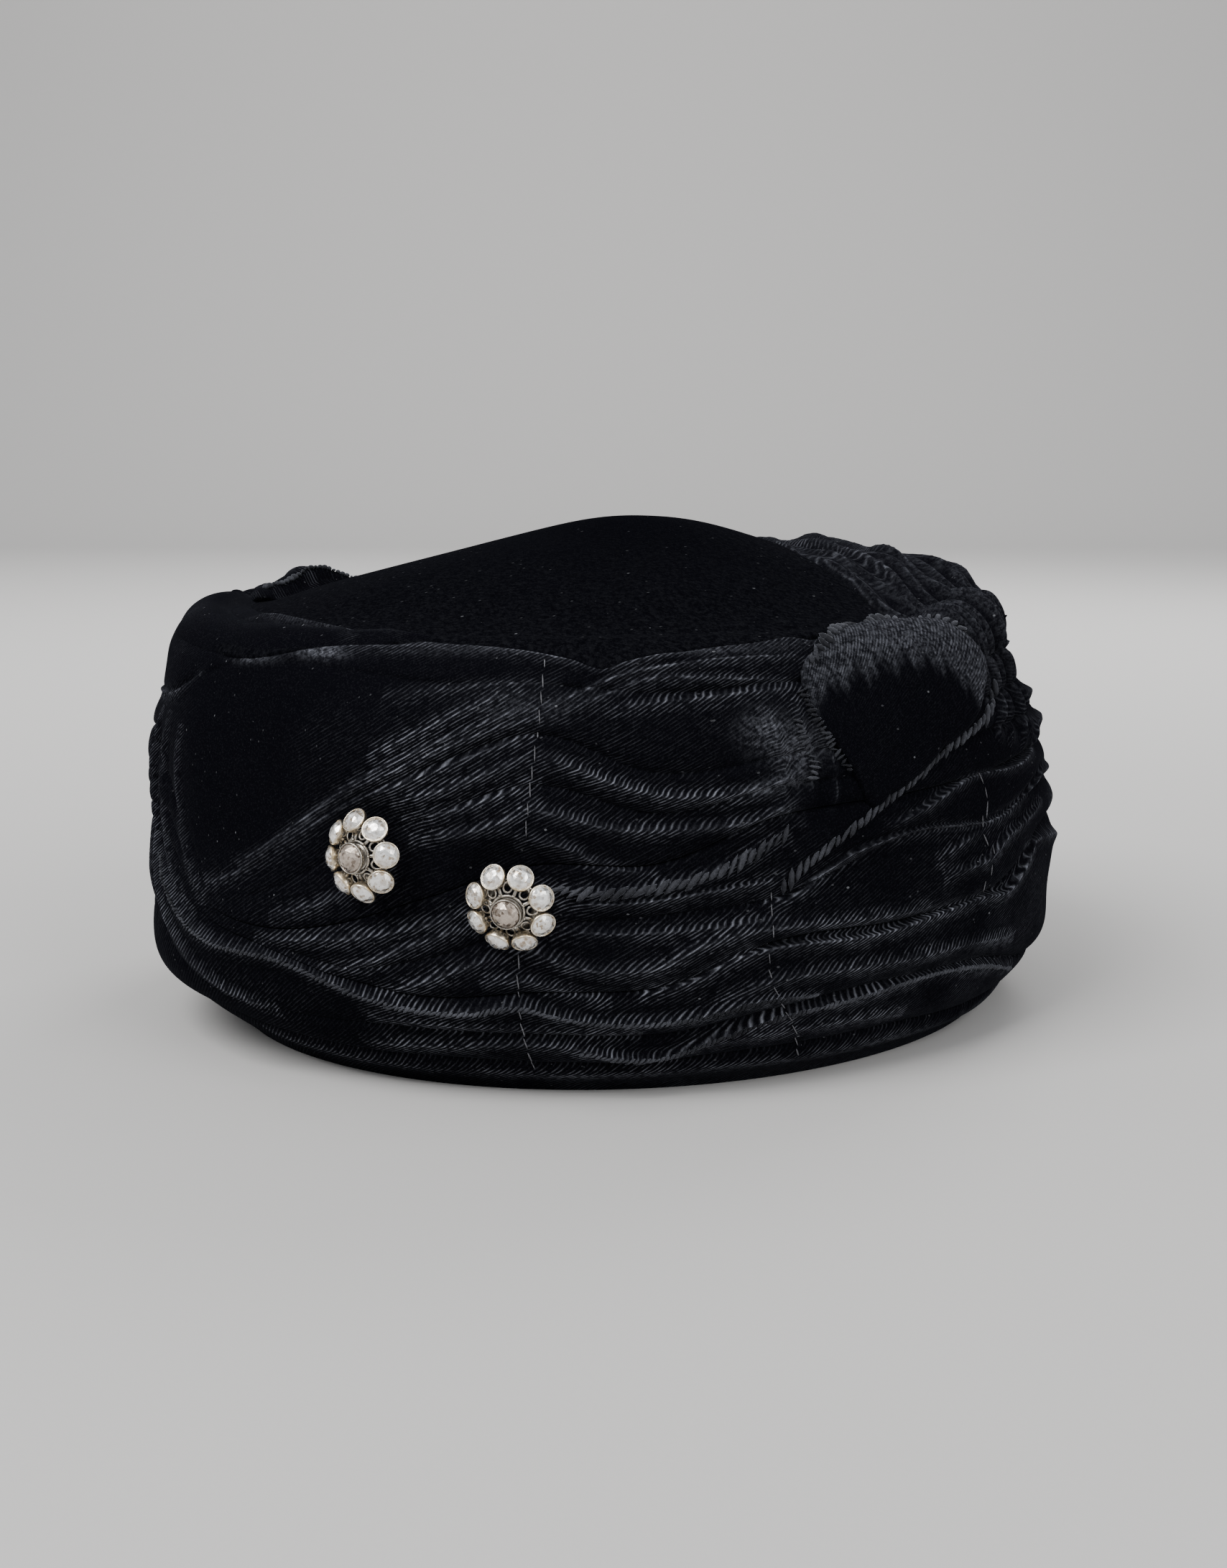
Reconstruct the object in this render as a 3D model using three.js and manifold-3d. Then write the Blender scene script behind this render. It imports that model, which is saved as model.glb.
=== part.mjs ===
// A draped velvet pillbox hat with two rhinestone flowers sewn to its left front.
// Millimetres, +Z up, the front of the hat towards -Y, the wearer's left towards +X, the rim on z = 0.
// An angle runs round the head's axis: 0 is the front, 90 the wearer's left, 180 the back.
// "Along" is the distance up the outside of the hat from the rim, over the edge and onto the crown.
import * as THREE from 'three';
import { mergeVertices } from 'three/addons/utils/BufferGeometryUtils.js';
import Module from 'manifold-3d';

const wasm = await Module();
wasm.setup();

// Driving dimensions of the cloth
const GAP = 0.4; // clearance between neighbouring pieces of cloth
const WALL = 6; // folded velvet over its foundation, measured straight inwards
const FOOT = 5; // width of the flat underside of the rim
const RIDGE = 1.7; // a full fold stands this far out of the form
const GROOVE = 2.2; // and the groove beside it lies this far in
const FULL_FOLD = 9; // a fold at least this wide has its full relief
const PRESSED = -1.6; // relief of the drape where something lies on it
const CROWN_WALL = 2.5;
const CROWN_RISE = 18.5; // of the crown's middle above its seam
const LIP_DEPTH = 5.5; // of the drape's upper edge where it faces the crown's seam
const LEFT_STEP = 3; // degrees between sections on the draped left side
const REST_STEP = 6.25; // and on the plainer rest
const AXIS_SHIFT = 1.6; // the head's axis lies this far behind the middle of the hat's length

// The outer form, a ring for each change of its outline: reaches are from the head's axis.
const RINGS = [
  { name: 'rim', along: 0, height: 0, front: 88, back: 90, side: 79 },
  { name: 'turn', along: 12, height: 9.5, front: 98, back: 98, side: 85.5 },
  { name: 'belly', along: 30, height: 25.5, front: 106, back: 103.5, side: 89.5 },
  { name: 'waist', along: 56, height: 50.5, front: 105.5, back: 103, side: 88.5 },
  { name: 'shoulder', along: 82, height: 75, front: 102, back: 99.5, side: 86 },
  { name: 'roll', along: 94, height: 85.5, front: 97.5, back: 95.5, side: 81.5 },
  { name: 'top', along: 100, height: 88.5, front: 92.5, back: 91, side: 76.5 },
  { name: 'seam', along: 106, height: 87.5, front: 87, back: 86, side: 71 },
];
const SEAM = RINGS.at(-1);

// Grooves between the folds, as distances along: the rim's rolls up to the lower drape's edge,
// then the upper drape's folds, which sweep down round the front and fan out again at 62 degrees.
const FOLDS = [
  { angle: -60, first: 12, second: 24, edge: 38, third: 46, fourth: 55, fifth: 64, sixth: 73, last: 84 },
  { angle: -30, first: 14, second: 29, edge: 47, third: 51, fourth: 57, fifth: 64, sixth: 72, last: 81 },
  { angle: 0, first: 15, second: 32, edge: 50, third: 52, fourth: 55, fifth: 60, sixth: 68, last: 80 },
  { angle: 10, first: 14, second: 25, edge: 41, third: 43, fourth: 46, fifth: 50, sixth: 55, last: 86 },
  { angle: 20, first: 12, second: 20, edge: 35.5, third: 37, fourth: 38.5, fifth: 41, sixth: 44, last: 91 },
  { angle: 30, first: 11, second: 18.5, edge: 32.5, third: 34, fourth: 37, fifth: 45, sixth: 52, last: 92 },
  { angle: 40, first: 10, second: 18, edge: 28.5, third: 31, fourth: 40, fifth: 54, sixth: 64, last: 91 },
  { angle: 50, first: 10, second: 18, edge: 26, third: 34, fourth: 46, fifth: 62, sixth: 72, last: 89 },
  { angle: 62, first: 10, second: 18, edge: 27.5, third: 41, fourth: 53, fifth: 69, sixth: 79, last: 89 },
  { angle: 75, first: 10, second: 17, edge: 28, third: 43, fourth: 53, fifth: 63, sixth: 71, last: 87 },
  { angle: 88, first: 11, second: 21, edge: 36, third: 45, fourth: 61, fifth: 67, sixth: 73, last: 88 },
  { angle: 105, first: 11, second: 23.5, edge: 36.5, third: 54, fourth: 63, fifth: 69, sixth: 76, last: 89 },
  { angle: 120, first: 10, second: 22, edge: 38, third: 53, fourth: 64, fifth: 73, sixth: 80, last: 89 },
  { angle: 138, first: 9, second: 16, edge: 47, third: 57, fourth: 66, fifth: 74, sixth: 82, last: 90 },
  { angle: 180, first: 9, second: 20, edge: 44, third: 53, fourth: 62, fifth: 71, sixth: 80, last: 90 },
  { angle: 230, first: 11, second: 21, edge: 35, third: 45, fourth: 55, fifth: 65, sixth: 75, last: 87 },
  { angle: 270, first: 11, second: 20, edge: 32, third: 43, fourth: 54, fifth: 65, sixth: 76, last: 87 },
];
const LOWER_GROOVES = ['first', 'second', 'edge'];
const UPPER_GROOVES = ['edge', 'third', 'fourth', 'fifth', 'sixth', 'last'];

// Pieces that lie on the drape: their lower and upper edges, by angle.
const PANEL = [
  { angle: 88, low: 64, high: 74 },
  { angle: 92, low: 58, high: 86 },
  { angle: 97, low: 59, high: 98 },
  { angle: 102, low: 62, high: 105.5 },
  { angle: 107, low: 66.5, high: 109 },
  { angle: 113, low: 71, high: 110.5 },
  { angle: 119, low: 75, high: 108 },
  { angle: 124, low: 79, high: 102 },
  { angle: 128, low: 84, high: 93 },
];
const PANEL_PUFF = 5;
const PEAK = [
  { angle: -38, low: 97, high: 101 },
  { angle: -28, low: 94, high: 107 },
  { angle: -10, low: 92, high: 110 },
  { angle: 10, low: 92.5, high: 111 },
  { angle: 22, low: 93.5, high: 110 },
  { angle: 34, low: 96, high: 107.5 },
  { angle: 42, low: 97.5, high: 104 },
  { angle: 49, low: 98.5, high: 100.5 },
];
const PEAK_PUFF = 4;
const PAD_EDGE = 0.8; // thickness of such a piece at its edge
const PAD_GAP = 1; // between such a piece and the pressed drape under it
const PAD_BED = { flat: 5, edge: 9 }; // the drape is pressed this far past its edges

// Driving dimensions of the flowers
const PETALS = 8;
const PETAL_RING = 6.5; // from the flower's middle to the middle of a petal stone
const PETAL_LEAN = 35; // degrees that a petal leans back
const PETAL_STONE = { radius: 2, crown: 0.9, pavilion: 1.1 };
const CENTRE_STONE = { radius: 2.6, crown: 1.3, pavilion: 1.3 };
const CUP_WALL = 0.45;
const CUP_FLOOR = 0.5;
const STONE_GAP = 0.25;
const PETAL_HEIGHT = 2.9; // of a petal's girdle above the flower's back
const CENTRE_HEIGHT = 5.0;
const BACK = { inner: 3.6, outer: 5.4, thick: 0.9 };
const ARM = { width: 1.1, thick: 0.8 };
const FLOWER_LIFT = 0.9; // of a flower's back above the form
const FLOWER_BED = { flat: 11, edge: 15 }; // radii of the pressed drape under a flower
const FLOWERS = [
  { name: 'flower_1', angle: 44.3, along: 54.5, turnForward: 8, turnDown: 0, spin: 8 },
  { name: 'flower_2', angle: 60, along: 46, turnForward: 0, turnDown: 5, spin: 22.5 },
];

const velvet = new THREE.MeshStandardMaterial({ color: 0x0c0c11, roughness: 0.95, metalness: 0 });
const silver = new THREE.MeshStandardMaterial({ color: 0xb4aea0, roughness: 0.35, metalness: 1 });
const clearStone = new THREE.MeshStandardMaterial({ color: 0xe8e6e0, roughness: 0.06, metalness: 0 });
const smokyStone = new THREE.MeshStandardMaterial({ color: 0x7d766f, roughness: 0.06, metalness: 0 });

const hat = new THREE.Group();

function addPiece(name, geometry, material, parent = hat) {
  const piece = new THREE.Mesh(geometry, material);
  piece.name = name;
  parent.add(piece);
  return piece;
}

const radians = THREE.MathUtils.degToRad;
const smoothstep = THREE.MathUtils.smoothstep;

// A smooth value from a table's rows, whose key column rises; period wraps the key round.
function lookUp(rows, key, column, at, period = 0) {
  const count = rows.length;
  const row = (i) => {
    const turns = period ? Math.floor(i / count) : 0;
    const held = period ? rows[i - turns * count] : rows[THREE.MathUtils.clamp(i, 0, count - 1)];
    return { x: held[key] + turns * period, y: held[column] };
  };
  const x = period ? THREE.MathUtils.euclideanModulo(at - rows[0][key], period) + rows[0][key] : at;
  let i = 0;
  while (i < count - (period ? 1 : 2) && x > row(i + 1).x) i += 1;
  const [before, a, b, after] = [row(i - 1), row(i), row(i + 1), row(i + 2)];
  const slope = (p, q) => (q.x === p.x ? 0 : (q.y - p.y) / (q.x - p.x));
  const span = b.x - a.x;
  const bend = (p, q, r) => (p.x === q.x || q.x === r.x ? slope(p, r) : (slope(p, q) + slope(q, r)) / 2);
  const t = THREE.MathUtils.clamp((x - a.x) / span, 0, 1);
  const startSlope = bend(before, a, b) * span;
  const endSlope = bend(a, b, after) * span;
  return (2 * t ** 3 - 3 * t ** 2 + 1) * a.y + (t ** 3 - 2 * t ** 2 + t) * startSlope
    + (3 * t ** 2 - 2 * t ** 3) * b.y + (t ** 3 - t ** 2) * endSlope;
}

function groove(name, angle) {
  return lookUp(FOLDS, 'angle', name, angle, 360);
}

function onPlan(angle, front, back, side, height) {
  const turn = radians(angle);
  const reach = Math.cos(turn) > 0 ? front : back;
  return new THREE.Vector3(side * Math.sin(turn), AXIS_SHIFT - reach * Math.cos(turn), height);
}

// A point of the outer form: side, edge and, past the seam, the domed crown.
function form(angle, along) {
  if (along <= SEAM.along) {
    const [height, front, back, side] = ['height', 'front', 'back', 'side'].map(
      (column) => lookUp(RINGS, 'along', column, along));
    return onPlan(angle, front, back, side, height);
  }
  const share = Math.max(0, 1 - (along - SEAM.along) / SEAM.side);
  const height = SEAM.height + CROWN_RISE * (1 - share ** 2);
  return onPlan(angle, SEAM.front * share, SEAM.back * share, SEAM.side * share, height);
}

// The direction out of the form, evened out over the seam's valley.
function outwards(angle, along) {
  const reach = 5;
  const round = form(angle + 1, along).sub(form(angle - 1, along));
  const up = form(angle, along + reach).sub(form(angle, Math.max(0, along - reach)));
  return round.cross(up).normalize();
}

function lifted(angle, along, lift) {
  return form(angle, along).addScaledVector(outwards(angle, along), lift);
}

function inwards(angle, along, depth) {
  const point = form(angle, along);
  const out = outwards(angle, along).setZ(0).normalize();
  return point.addScaledVector(out, -depth);
}

// How far a spot is pressed down under a flower or a piece that lies on the drape: 0 to 1.
function pressedUnderPad(rows, angle, along) {
  const [start, end] = [rows[0].angle, rows.at(-1).angle];
  const turned = THREE.MathUtils.euclideanModulo(angle + 180, 360) - 180;
  const inside = THREE.MathUtils.clamp(turned, start, end);
  const low = lookUp(rows, 'angle', 'low', inside);
  const high = lookUp(rows, 'angle', 'high', inside);
  const outside = [Math.abs(turned - inside), low - along, along - high];
  return Math.min(...outside.map((distance) => 1 - smoothstep(distance, PAD_BED.flat, PAD_BED.edge)));
}

function pressedUnderFlower(flower, angle, along) {
  const distance = form(angle, along).distanceTo(form(flower.angle, flower.along));
  return 1 - smoothstep(distance, FLOWER_BED.flat, FLOWER_BED.edge);
}

function relief(angle, along, foldShare, foldWidth) {
  const round = Math.sqrt(Math.max(0, 1 - (2 * foldShare - 1) ** 2));
  const fullness = Math.min(1, foldWidth / FULL_FOLD);
  const free = fullness * (RIDGE * round - GROOVE * (1 - round));
  const pads = [PANEL, PEAK].flatMap((rows) => [-LEFT_STEP, 0, LEFT_STEP].map(
    (aside) => pressedUnderPad(rows, angle + aside, along)));
  const flowers = FLOWERS.map((flower) => pressedUnderFlower(flower, angle, along));
  return THREE.MathUtils.lerp(free, PRESSED, Math.max(...pads, ...flowers));
}

// The outer face of a drape at one angle, fold by fold between its grooves.
function foldedFace(angle, grooves, shares) {
  const points = [];
  for (let i = 0; i + 1 < grooves.length; i += 1) {
    const width = grooves[i + 1] - grooves[i];
    for (const share of shares) {
      const along = grooves[i] + width * share;
      points.push(lifted(angle, along, relief(angle, along, share, width)));
    }
  }
  return points;
}

// A closed ring whose section at each angle is a loop of points with the outer face first, going up.
function sweptRing(angles, sectionAt) {
  const sections = angles.map(sectionAt);
  const perSection = sections[0].length;
  const positions = sections.flat().flatMap((point) => point.toArray());
  const indices = [];
  sections.forEach((_, i) => {
    const next = (i + 1) % sections.length;
    for (let j = 0; j < perSection; j += 1) {
      const k = (j + 1) % perSection;
      const [a, b] = [i * perSection + j, i * perSection + k];
      const [c, d] = [next * perSection + j, next * perSection + k];
      indices.push(a, c, d, a, d, b);
    }
  });
  return indexed(positions, indices);
}

function indexed(positions, indices) {
  const geometry = new THREE.BufferGeometry();
  geometry.setAttribute('position', new THREE.Float32BufferAttribute(positions, 3));
  geometry.setIndex(indices);
  geometry.computeVertexNormals();
  return geometry;
}

function anglesRound() {
  const [start, end] = [-20, 139];
  const angles = [];
  for (let angle = start; angle < end; angle += LEFT_STEP) angles.push(angle);
  for (let angle = end; angle < start + 359; angle += REST_STEP) angles.push(angle);
  return angles;
}

function lowerDrape() {
  return sweptRing(anglesRound(), (angle) => {
    const grooves = [0, ...LOWER_GROOVES.map((name) => groove(name, angle))];
    grooves[grooves.length - 1] -= GAP / 2;
    const top = grooves.at(-1);
    const outer = foldedFace(angle, grooves, [0, 0.2, 0.5, 0.8]);
    outer[0] = form(angle, 0);
    const edge = lifted(angle, top, relief(angle, top, 1, FULL_FOLD));
    const inner = [1, 0.6, 0.25].map((share) => inwards(angle, top * share, WALL));
    return [...outer, edge, ...inner, inwards(angle, 0, FOOT)];
  });
}

function upperDrape() {
  const [roll, top, lip] = [RINGS.at(-3).along, RINGS.at(-2).along, SEAM.along - 0.3];
  return sweptRing(anglesRound(), (angle) => {
    const grooves = [...UPPER_GROOVES.map((name) => groove(name, angle)), lip];
    grooves[0] += GAP / 2;
    const folds = foldedFace(angle, grooves.slice(0, -1), [0, 0.22, 0.6]);
    folds[0] = lifted(angle, grooves[0], relief(angle, grooves[0], 0, FULL_FOLD));
    const last = grooves.at(-2);
    const edgeRoll = [last, (last + roll) / 2, roll, top].map((along) => (
      lifted(angle, along, relief(angle, along, (along - last) / (lip - last), FULL_FOLD))));
    const seam = form(angle, lip);
    const underLip = seam.clone().setZ(seam.z - LIP_DEPTH);
    const inner = [roll - 9, (roll - 9 + grooves[0]) / 2, grooves[0]].map(
      (along) => inwards(angle, along, WALL));
    return [...folds, ...edgeRoll, seam, underLip, ...inner];
  });
}

// The crown tip: a dome and its underside, joined by the edge that faces the seam.
function crownTip() {
  const [columns, rows] = [44, 5];
  const positions = [];
  const indices = [];
  const start = SEAM.along + 0.3;
  for (const drop of [0, CROWN_WALL]) {
    for (let row = 0; row < rows; row += 1) {
      for (let column = 0; column < columns; column += 1) {
        const along = start + (SEAM.side - 0.3) * (row / rows) ** 1.1;
        const point = form(column * 360 / columns, along);
        positions.push(point.x, point.y, point.z - drop);
      }
    }
    positions.push(0, AXIS_SHIFT, SEAM.height + CROWN_RISE - drop);
  }
  const side = rows * columns + 1;
  for (let column = 0; column < columns; column += 1) {
    const next = (column + 1) % columns;
    for (let row = 0; row < rows; row += 1) {
      const [a, b] = [row * columns + column, row * columns + next];
      const [c, d] = row + 1 < rows ? [a + columns, b + columns] : [side - 1, side - 1];
      indices.push(a, b, d, side + a, side + d, side + b);
      if (c !== d) indices.push(a, d, c, side + a, side + c, side + d);
    }
    indices.push(column, side + column, side + next, column, side + next, next);
  }
  return indexed(positions, indices);
}

// A piece of cloth that lies on the form between the table's edges, puffed up in its middle.
function pad(rows, puff, across, up) {
  const [start, end] = [rows[0].angle, rows.at(-1).angle];
  const positions = [];
  for (const layer of [0, 1]) {
    for (let i = 0; i <= across; i += 1) {
      const angle = start + (end - start) * i / across;
      const low = lookUp(rows, 'angle', 'low', angle);
      const high = lookUp(rows, 'angle', 'high', angle);
      for (let j = 0; j <= up; j += 1) {
        const along = low + (high - low) * j / up;
        const settled = PRESSED * (1 - smoothstep(along, RINGS.at(-2).along - 4, SEAM.along));
        const swell = Math.sqrt(Math.sin(Math.PI * i / across) * Math.sin(Math.PI * j / up));
        const lift = settled + PAD_GAP + layer * (PAD_EDGE + (puff - PAD_EDGE) * swell);
        positions.push(...lifted(angle, along, lift).toArray());
      }
    }
  }
  const [stride, layerSize] = [up + 1, (across + 1) * (up + 1)];
  const indices = [];
  const quad = (a, b, c, d) => indices.push(a, b, c, a, c, d);
  for (let i = 0; i < across; i += 1) {
    for (let j = 0; j < up; j += 1) {
      const [a, b] = [i * stride + j, (i + 1) * stride + j];
      quad(layerSize + a, layerSize + b, layerSize + b + 1, layerSize + a + 1);
      quad(a, a + 1, b + 1, b);
    }
    const [low, nextLow] = [i * stride, (i + 1) * stride];
    quad(low, nextLow, layerSize + nextLow, layerSize + low);
    quad(low + up, layerSize + low + up, layerSize + nextLow + up, nextLow + up);
  }
  for (let j = 0; j < up; j += 1) {
    const far = across * stride + j;
    quad(j, layerSize + j, layerSize + j + 1, j + 1);
    quad(far, far + 1, layerSize + far + 1, layerSize + far);
  }
  return indexed(positions, indices);
}

function asSolid(geometry) {
  const bare = geometry.clone();
  bare.deleteAttribute('normal');
  bare.deleteAttribute('uv');
  const closed = mergeVertices(bare, 1e-4);
  return new wasm.Manifold(new wasm.Mesh({
    numProp: 3,
    vertProperties: new Float32Array(closed.attributes.position.array),
    triVerts: new Uint32Array(closed.index.array),
  }));
}

function asGeometry(solid) {
  const mesh = solid.getMesh();
  return indexed(Array.from(mesh.vertProperties), Array.from(mesh.triVerts));
}

const lathe = (outline, segments) => new THREE.LatheGeometry(
  outline.map(([radius, height]) => new THREE.Vector2(radius, height)), segments).rotateX(Math.PI / 2);

// A cup that holds one stone, with the stone's girdle at its own zero height.
function cup(stone) {
  const inner = stone.radius + STONE_GAP;
  const outer = inner + CUP_WALL;
  const floor = -stone.pavilion - STONE_GAP;
  const rim = 0.35;
  return lathe([[0, floor - CUP_FLOOR], [outer * 0.8, floor - CUP_FLOOR], [outer, floor + 0.4],
    [outer, rim], [inner, rim], [inner, floor], [0, floor]], 16);
}

function stoneShape(stone) {
  const { radius, crown, pavilion } = stone;
  return lathe([[0, -pavilion], [radius * 0.96, -0.15], [radius, 0.05],
    [radius * 0.62, crown], [0, crown]], 8);
}

function placePetal(object, index) {
  const turn = (index * 360) / PETALS;
  object.rotateZ(radians(turn));
  object.translateX(PETAL_RING);
  object.translateZ(PETAL_HEIGHT);
  object.rotateY(radians(PETAL_LEAN));
}

function placedCopy(geometry, place) {
  const holder = new THREE.Object3D();
  place(holder);
  holder.updateMatrix();
  return geometry.clone().applyMatrix4(holder.matrix);
}

// One soldered piece: the ring on the back, an arm under each petal, the petal cups and the centre's.
function flowerSetting() {
  let solid = asSolid(lathe([[BACK.inner, 0], [BACK.outer, 0], [BACK.outer, BACK.thick],
    [BACK.inner, BACK.thick], [BACK.inner, 0]], 32));
  const petalCup = cup(PETAL_STONE);
  const armLength = PETAL_RING;
  const arm = new THREE.BoxGeometry(armLength, ARM.width, ARM.thick);
  for (let i = 0; i < PETALS; i += 1) {
    solid = solid.add(asSolid(placedCopy(petalCup, (holder) => placePetal(holder, i))));
    solid = solid.add(asSolid(placedCopy(arm, (holder) => {
      holder.rotateZ(radians((i * 360) / PETALS));
      holder.translateX(armLength / 2);
      holder.translateZ(BACK.thick);
    })));
  }
  const centreFloor = CENTRE_HEIGHT - CENTRE_STONE.pavilion - STONE_GAP - CUP_FLOOR;
  const post = lathe([[0, BACK.thick], [1.6, BACK.thick], [1.6, centreFloor + 0.1], [0, centreFloor + 0.1]], 12);
  solid = solid.add(asSolid(post));
  solid = solid.add(asSolid(placedCopy(cup(CENTRE_STONE), (holder) => holder.translateZ(CENTRE_HEIGHT))));
  return asGeometry(solid);
}

function addFlower({ name, angle, along, turnForward, turnDown, spin }) {
  const flower = new THREE.Group();
  const out = outwards(angle, along);
  const round = new THREE.Vector3(0, 0, 1).cross(out).normalize();
  const up = out.clone().cross(round);
  flower.quaternion.setFromRotationMatrix(new THREE.Matrix4().makeBasis(round, up, out));
  flower.rotateY(radians(-turnForward));
  flower.rotateX(radians(turnDown));
  flower.rotateZ(radians(spin));
  const tip = (PETAL_RING + PETAL_STONE.radius) * Math.sin(radians(Math.max(turnForward, turnDown)));
  flower.position.copy(lifted(angle, along, FLOWER_LIFT + tip));
  addPiece(`${name}_setting`, flowerSetting(), silver, flower);
  for (let i = 0; i < PETALS; i += 1) {
    placePetal(addPiece(`${name}_stone_${i + 1}`, stoneShape(PETAL_STONE), clearStone, flower), i);
  }
  const centre = addPiece(`${name}_stone_centre`, stoneShape(CENTRE_STONE), smokyStone, flower);
  centre.translateZ(CENTRE_HEIGHT);
  hat.add(flower);
}

addPiece('crown_tip', crownTip(), velvet);
addPiece('lower_drape', lowerDrape(), velvet);
addPiece('upper_drape', upperDrape(), velvet);
addPiece('puffed_panel', pad(PANEL, PANEL_PUFF, 16, 9), velvet);
addPiece('front_peak', pad(PEAK, PEAK_PUFF, 20, 6), velvet);
FLOWERS.forEach(addFlower);

export default hat;
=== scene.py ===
# %% [markdown]
# # A draped velvet pillbox hat with two rhinestone flowers
# This lesson dresses a plain measured model of the hat in cloth, thread, metal and glass. The plain
# model comes first: it is loaded as a frame that never moves, and every piece below is made in the
# same place and size. All lengths of the cloth are in millimetres until a mesh is made of them.

# %% Load the frame
import math
import bmesh
import bpy
import numpy as np
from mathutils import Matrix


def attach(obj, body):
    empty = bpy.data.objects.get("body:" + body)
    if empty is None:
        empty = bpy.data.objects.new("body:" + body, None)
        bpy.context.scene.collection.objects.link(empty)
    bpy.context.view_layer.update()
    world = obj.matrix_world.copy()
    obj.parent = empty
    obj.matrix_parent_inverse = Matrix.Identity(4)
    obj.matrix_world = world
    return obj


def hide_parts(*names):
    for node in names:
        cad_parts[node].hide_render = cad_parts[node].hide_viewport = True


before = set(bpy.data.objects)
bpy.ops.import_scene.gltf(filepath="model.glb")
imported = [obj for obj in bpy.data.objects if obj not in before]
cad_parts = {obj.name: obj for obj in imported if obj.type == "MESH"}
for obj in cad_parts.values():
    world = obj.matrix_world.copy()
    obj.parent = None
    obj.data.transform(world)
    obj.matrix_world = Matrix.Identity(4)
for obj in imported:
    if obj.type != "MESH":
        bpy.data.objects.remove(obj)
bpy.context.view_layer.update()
MM = 0.001

# %% [markdown]
# ## The form under the drape
# A hat like this is shaped over a block, so its outline is a stack of ovals. Each row below is one
# oval: how far along the outside it lies from the rim, its height, and its reach from the head's axis.
# A smooth curve through the rows gives every oval between them. Angles run from the front (0) over
# the wearer's left side (90) to the back (180), so that a fold is a line of (angle, along) points.

# %% The form as a function of angle and along
RINGS = {
    "along": [0, 12, 30, 56, 82, 94, 100, 106],
    "height": [0, 9.5, 25.5, 50.5, 75, 85.5, 88.5, 87.5],
    "front": [88, 98, 106, 105.5, 102, 97.5, 92.5, 87],
    "back": [90, 98, 103.5, 103, 99.5, 95.5, 91, 86],
    "side": [79, 85.5, 89.5, 88.5, 86, 81.5, 76.5, 71],
}
SEAM = RINGS["along"][-1]
SEAM_SIDE = RINGS["side"][-1]
CROWN_RISE = 18.5
AXIS_SHIFT = 1.6  # the ovals' middle lies this far behind the head's axis
ROUND_MM = 95.0   # mean reach, to turn angles into millimetres round the hat
PER_DEGREE = math.radians(ROUND_MM)
CROWN_INNER = 0.75            # the crown's wall is this share of the side's
TURN_OVER = (SEAM - 4, SEAM + 6)    # where the wall turns from the side to the crown


def smooth(keys, values, at, period=None):
    """A curve through a table's rows that rises and falls evenly; period wraps it round."""
    keys, values = np.asarray(keys, float), np.asarray(values, float)
    at = np.asarray(at, float)
    if period:
        at = (at - keys[0]) % period + keys[0]
        keys = np.concatenate([keys[-2:] - period, keys, keys[:2] + period])
        values = np.concatenate([values[-2:], values, values[:2]])
    slopes = np.diff(values) / np.diff(keys)
    bends = np.concatenate([slopes[:1], (slopes[1:] + slopes[:-1]) / 2, slopes[-1:]])
    i = np.clip(np.searchsorted(keys, at, side="right") - 1, 0, len(keys) - 2)
    span = keys[i + 1] - keys[i]
    t = np.clip((at - keys[i]) / span, 0, 1)
    return ((2 * t**3 - 3 * t**2 + 1) * values[i] + (t**3 - 2 * t**2 + t) * span * bends[i]
            + (3 * t**2 - 2 * t**3) * values[i + 1] + (t**3 - t**2) * span * bends[i + 1])


def ease(x, low, high):
    """Zero up to low, one from high on, with a soft change between."""
    t = np.clip((x - low) / (high - low), 0, 1)
    return t * t * (3 - 2 * t)


def aside(angle, middle):
    """How far an angle lies past a middle one, the shorter way round."""
    return (angle - middle + 180) % 360 - 180


def spot(angle, along, place):
    """One at the place, fading round it: its angle, its along and its half sizes in degrees and mm."""
    middle, height, wide, tall = place
    return np.exp(-((aside(angle, middle) / wide) ** 2) - ((along - height) / tall) ** 2)


def form(angle, along):
    """Points of the outer form: the side, the edge and, past the seam, the domed crown."""
    below = np.minimum(along, SEAM)
    height, front, back, side = (
        smooth(RINGS["along"], RINGS[name], below) for name in ("height", "front", "back", "side"))
    share = np.clip(1 - (along - SEAM) / SEAM_SIDE, 0, 1)
    turn = np.radians(angle)
    reach = np.where(np.cos(turn) > 0, front, back) * share
    height = height + CROWN_RISE * (1 - share**2)
    return np.stack([side * share * np.sin(turn), AXIS_SHIFT - reach * np.cos(turn), height], -1)


def outwards(angle, along, reach=4.0):
    """The direction out of the form, evened out over the valley at the seam."""
    across = form(angle + 1, along) - form(angle - 1, along)
    up = form(angle, along + reach) - form(angle, np.maximum(along - reach, 0))
    out = np.cross(across, up)
    return out / np.linalg.norm(out, axis=-1, keepdims=True)


def inwards(angle, along, depth):
    """Points of the inner face: level with the outer one on the side, and under it on the crown."""
    flat = outwards(angle, along) * [1, 1, 0]
    flat /= np.linalg.norm(flat, axis=-1, keepdims=True)
    over = ease(along, *TURN_OVER)[..., None]
    return form(angle, along) - depth * ((1 - over) * flat + CROWN_INNER * over * np.array([0, 0, 1]))

# %% [markdown]
# ## The rolls of the drape
# The velvet was wound round the form in long strips. Each strip bulges between two grooves where it
# was pulled in and sewn, so the grooves are all that has to be tabled: their distance along at a few
# angles. They sweep up at the front, down on the left front and fan out again at the tack line.

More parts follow.
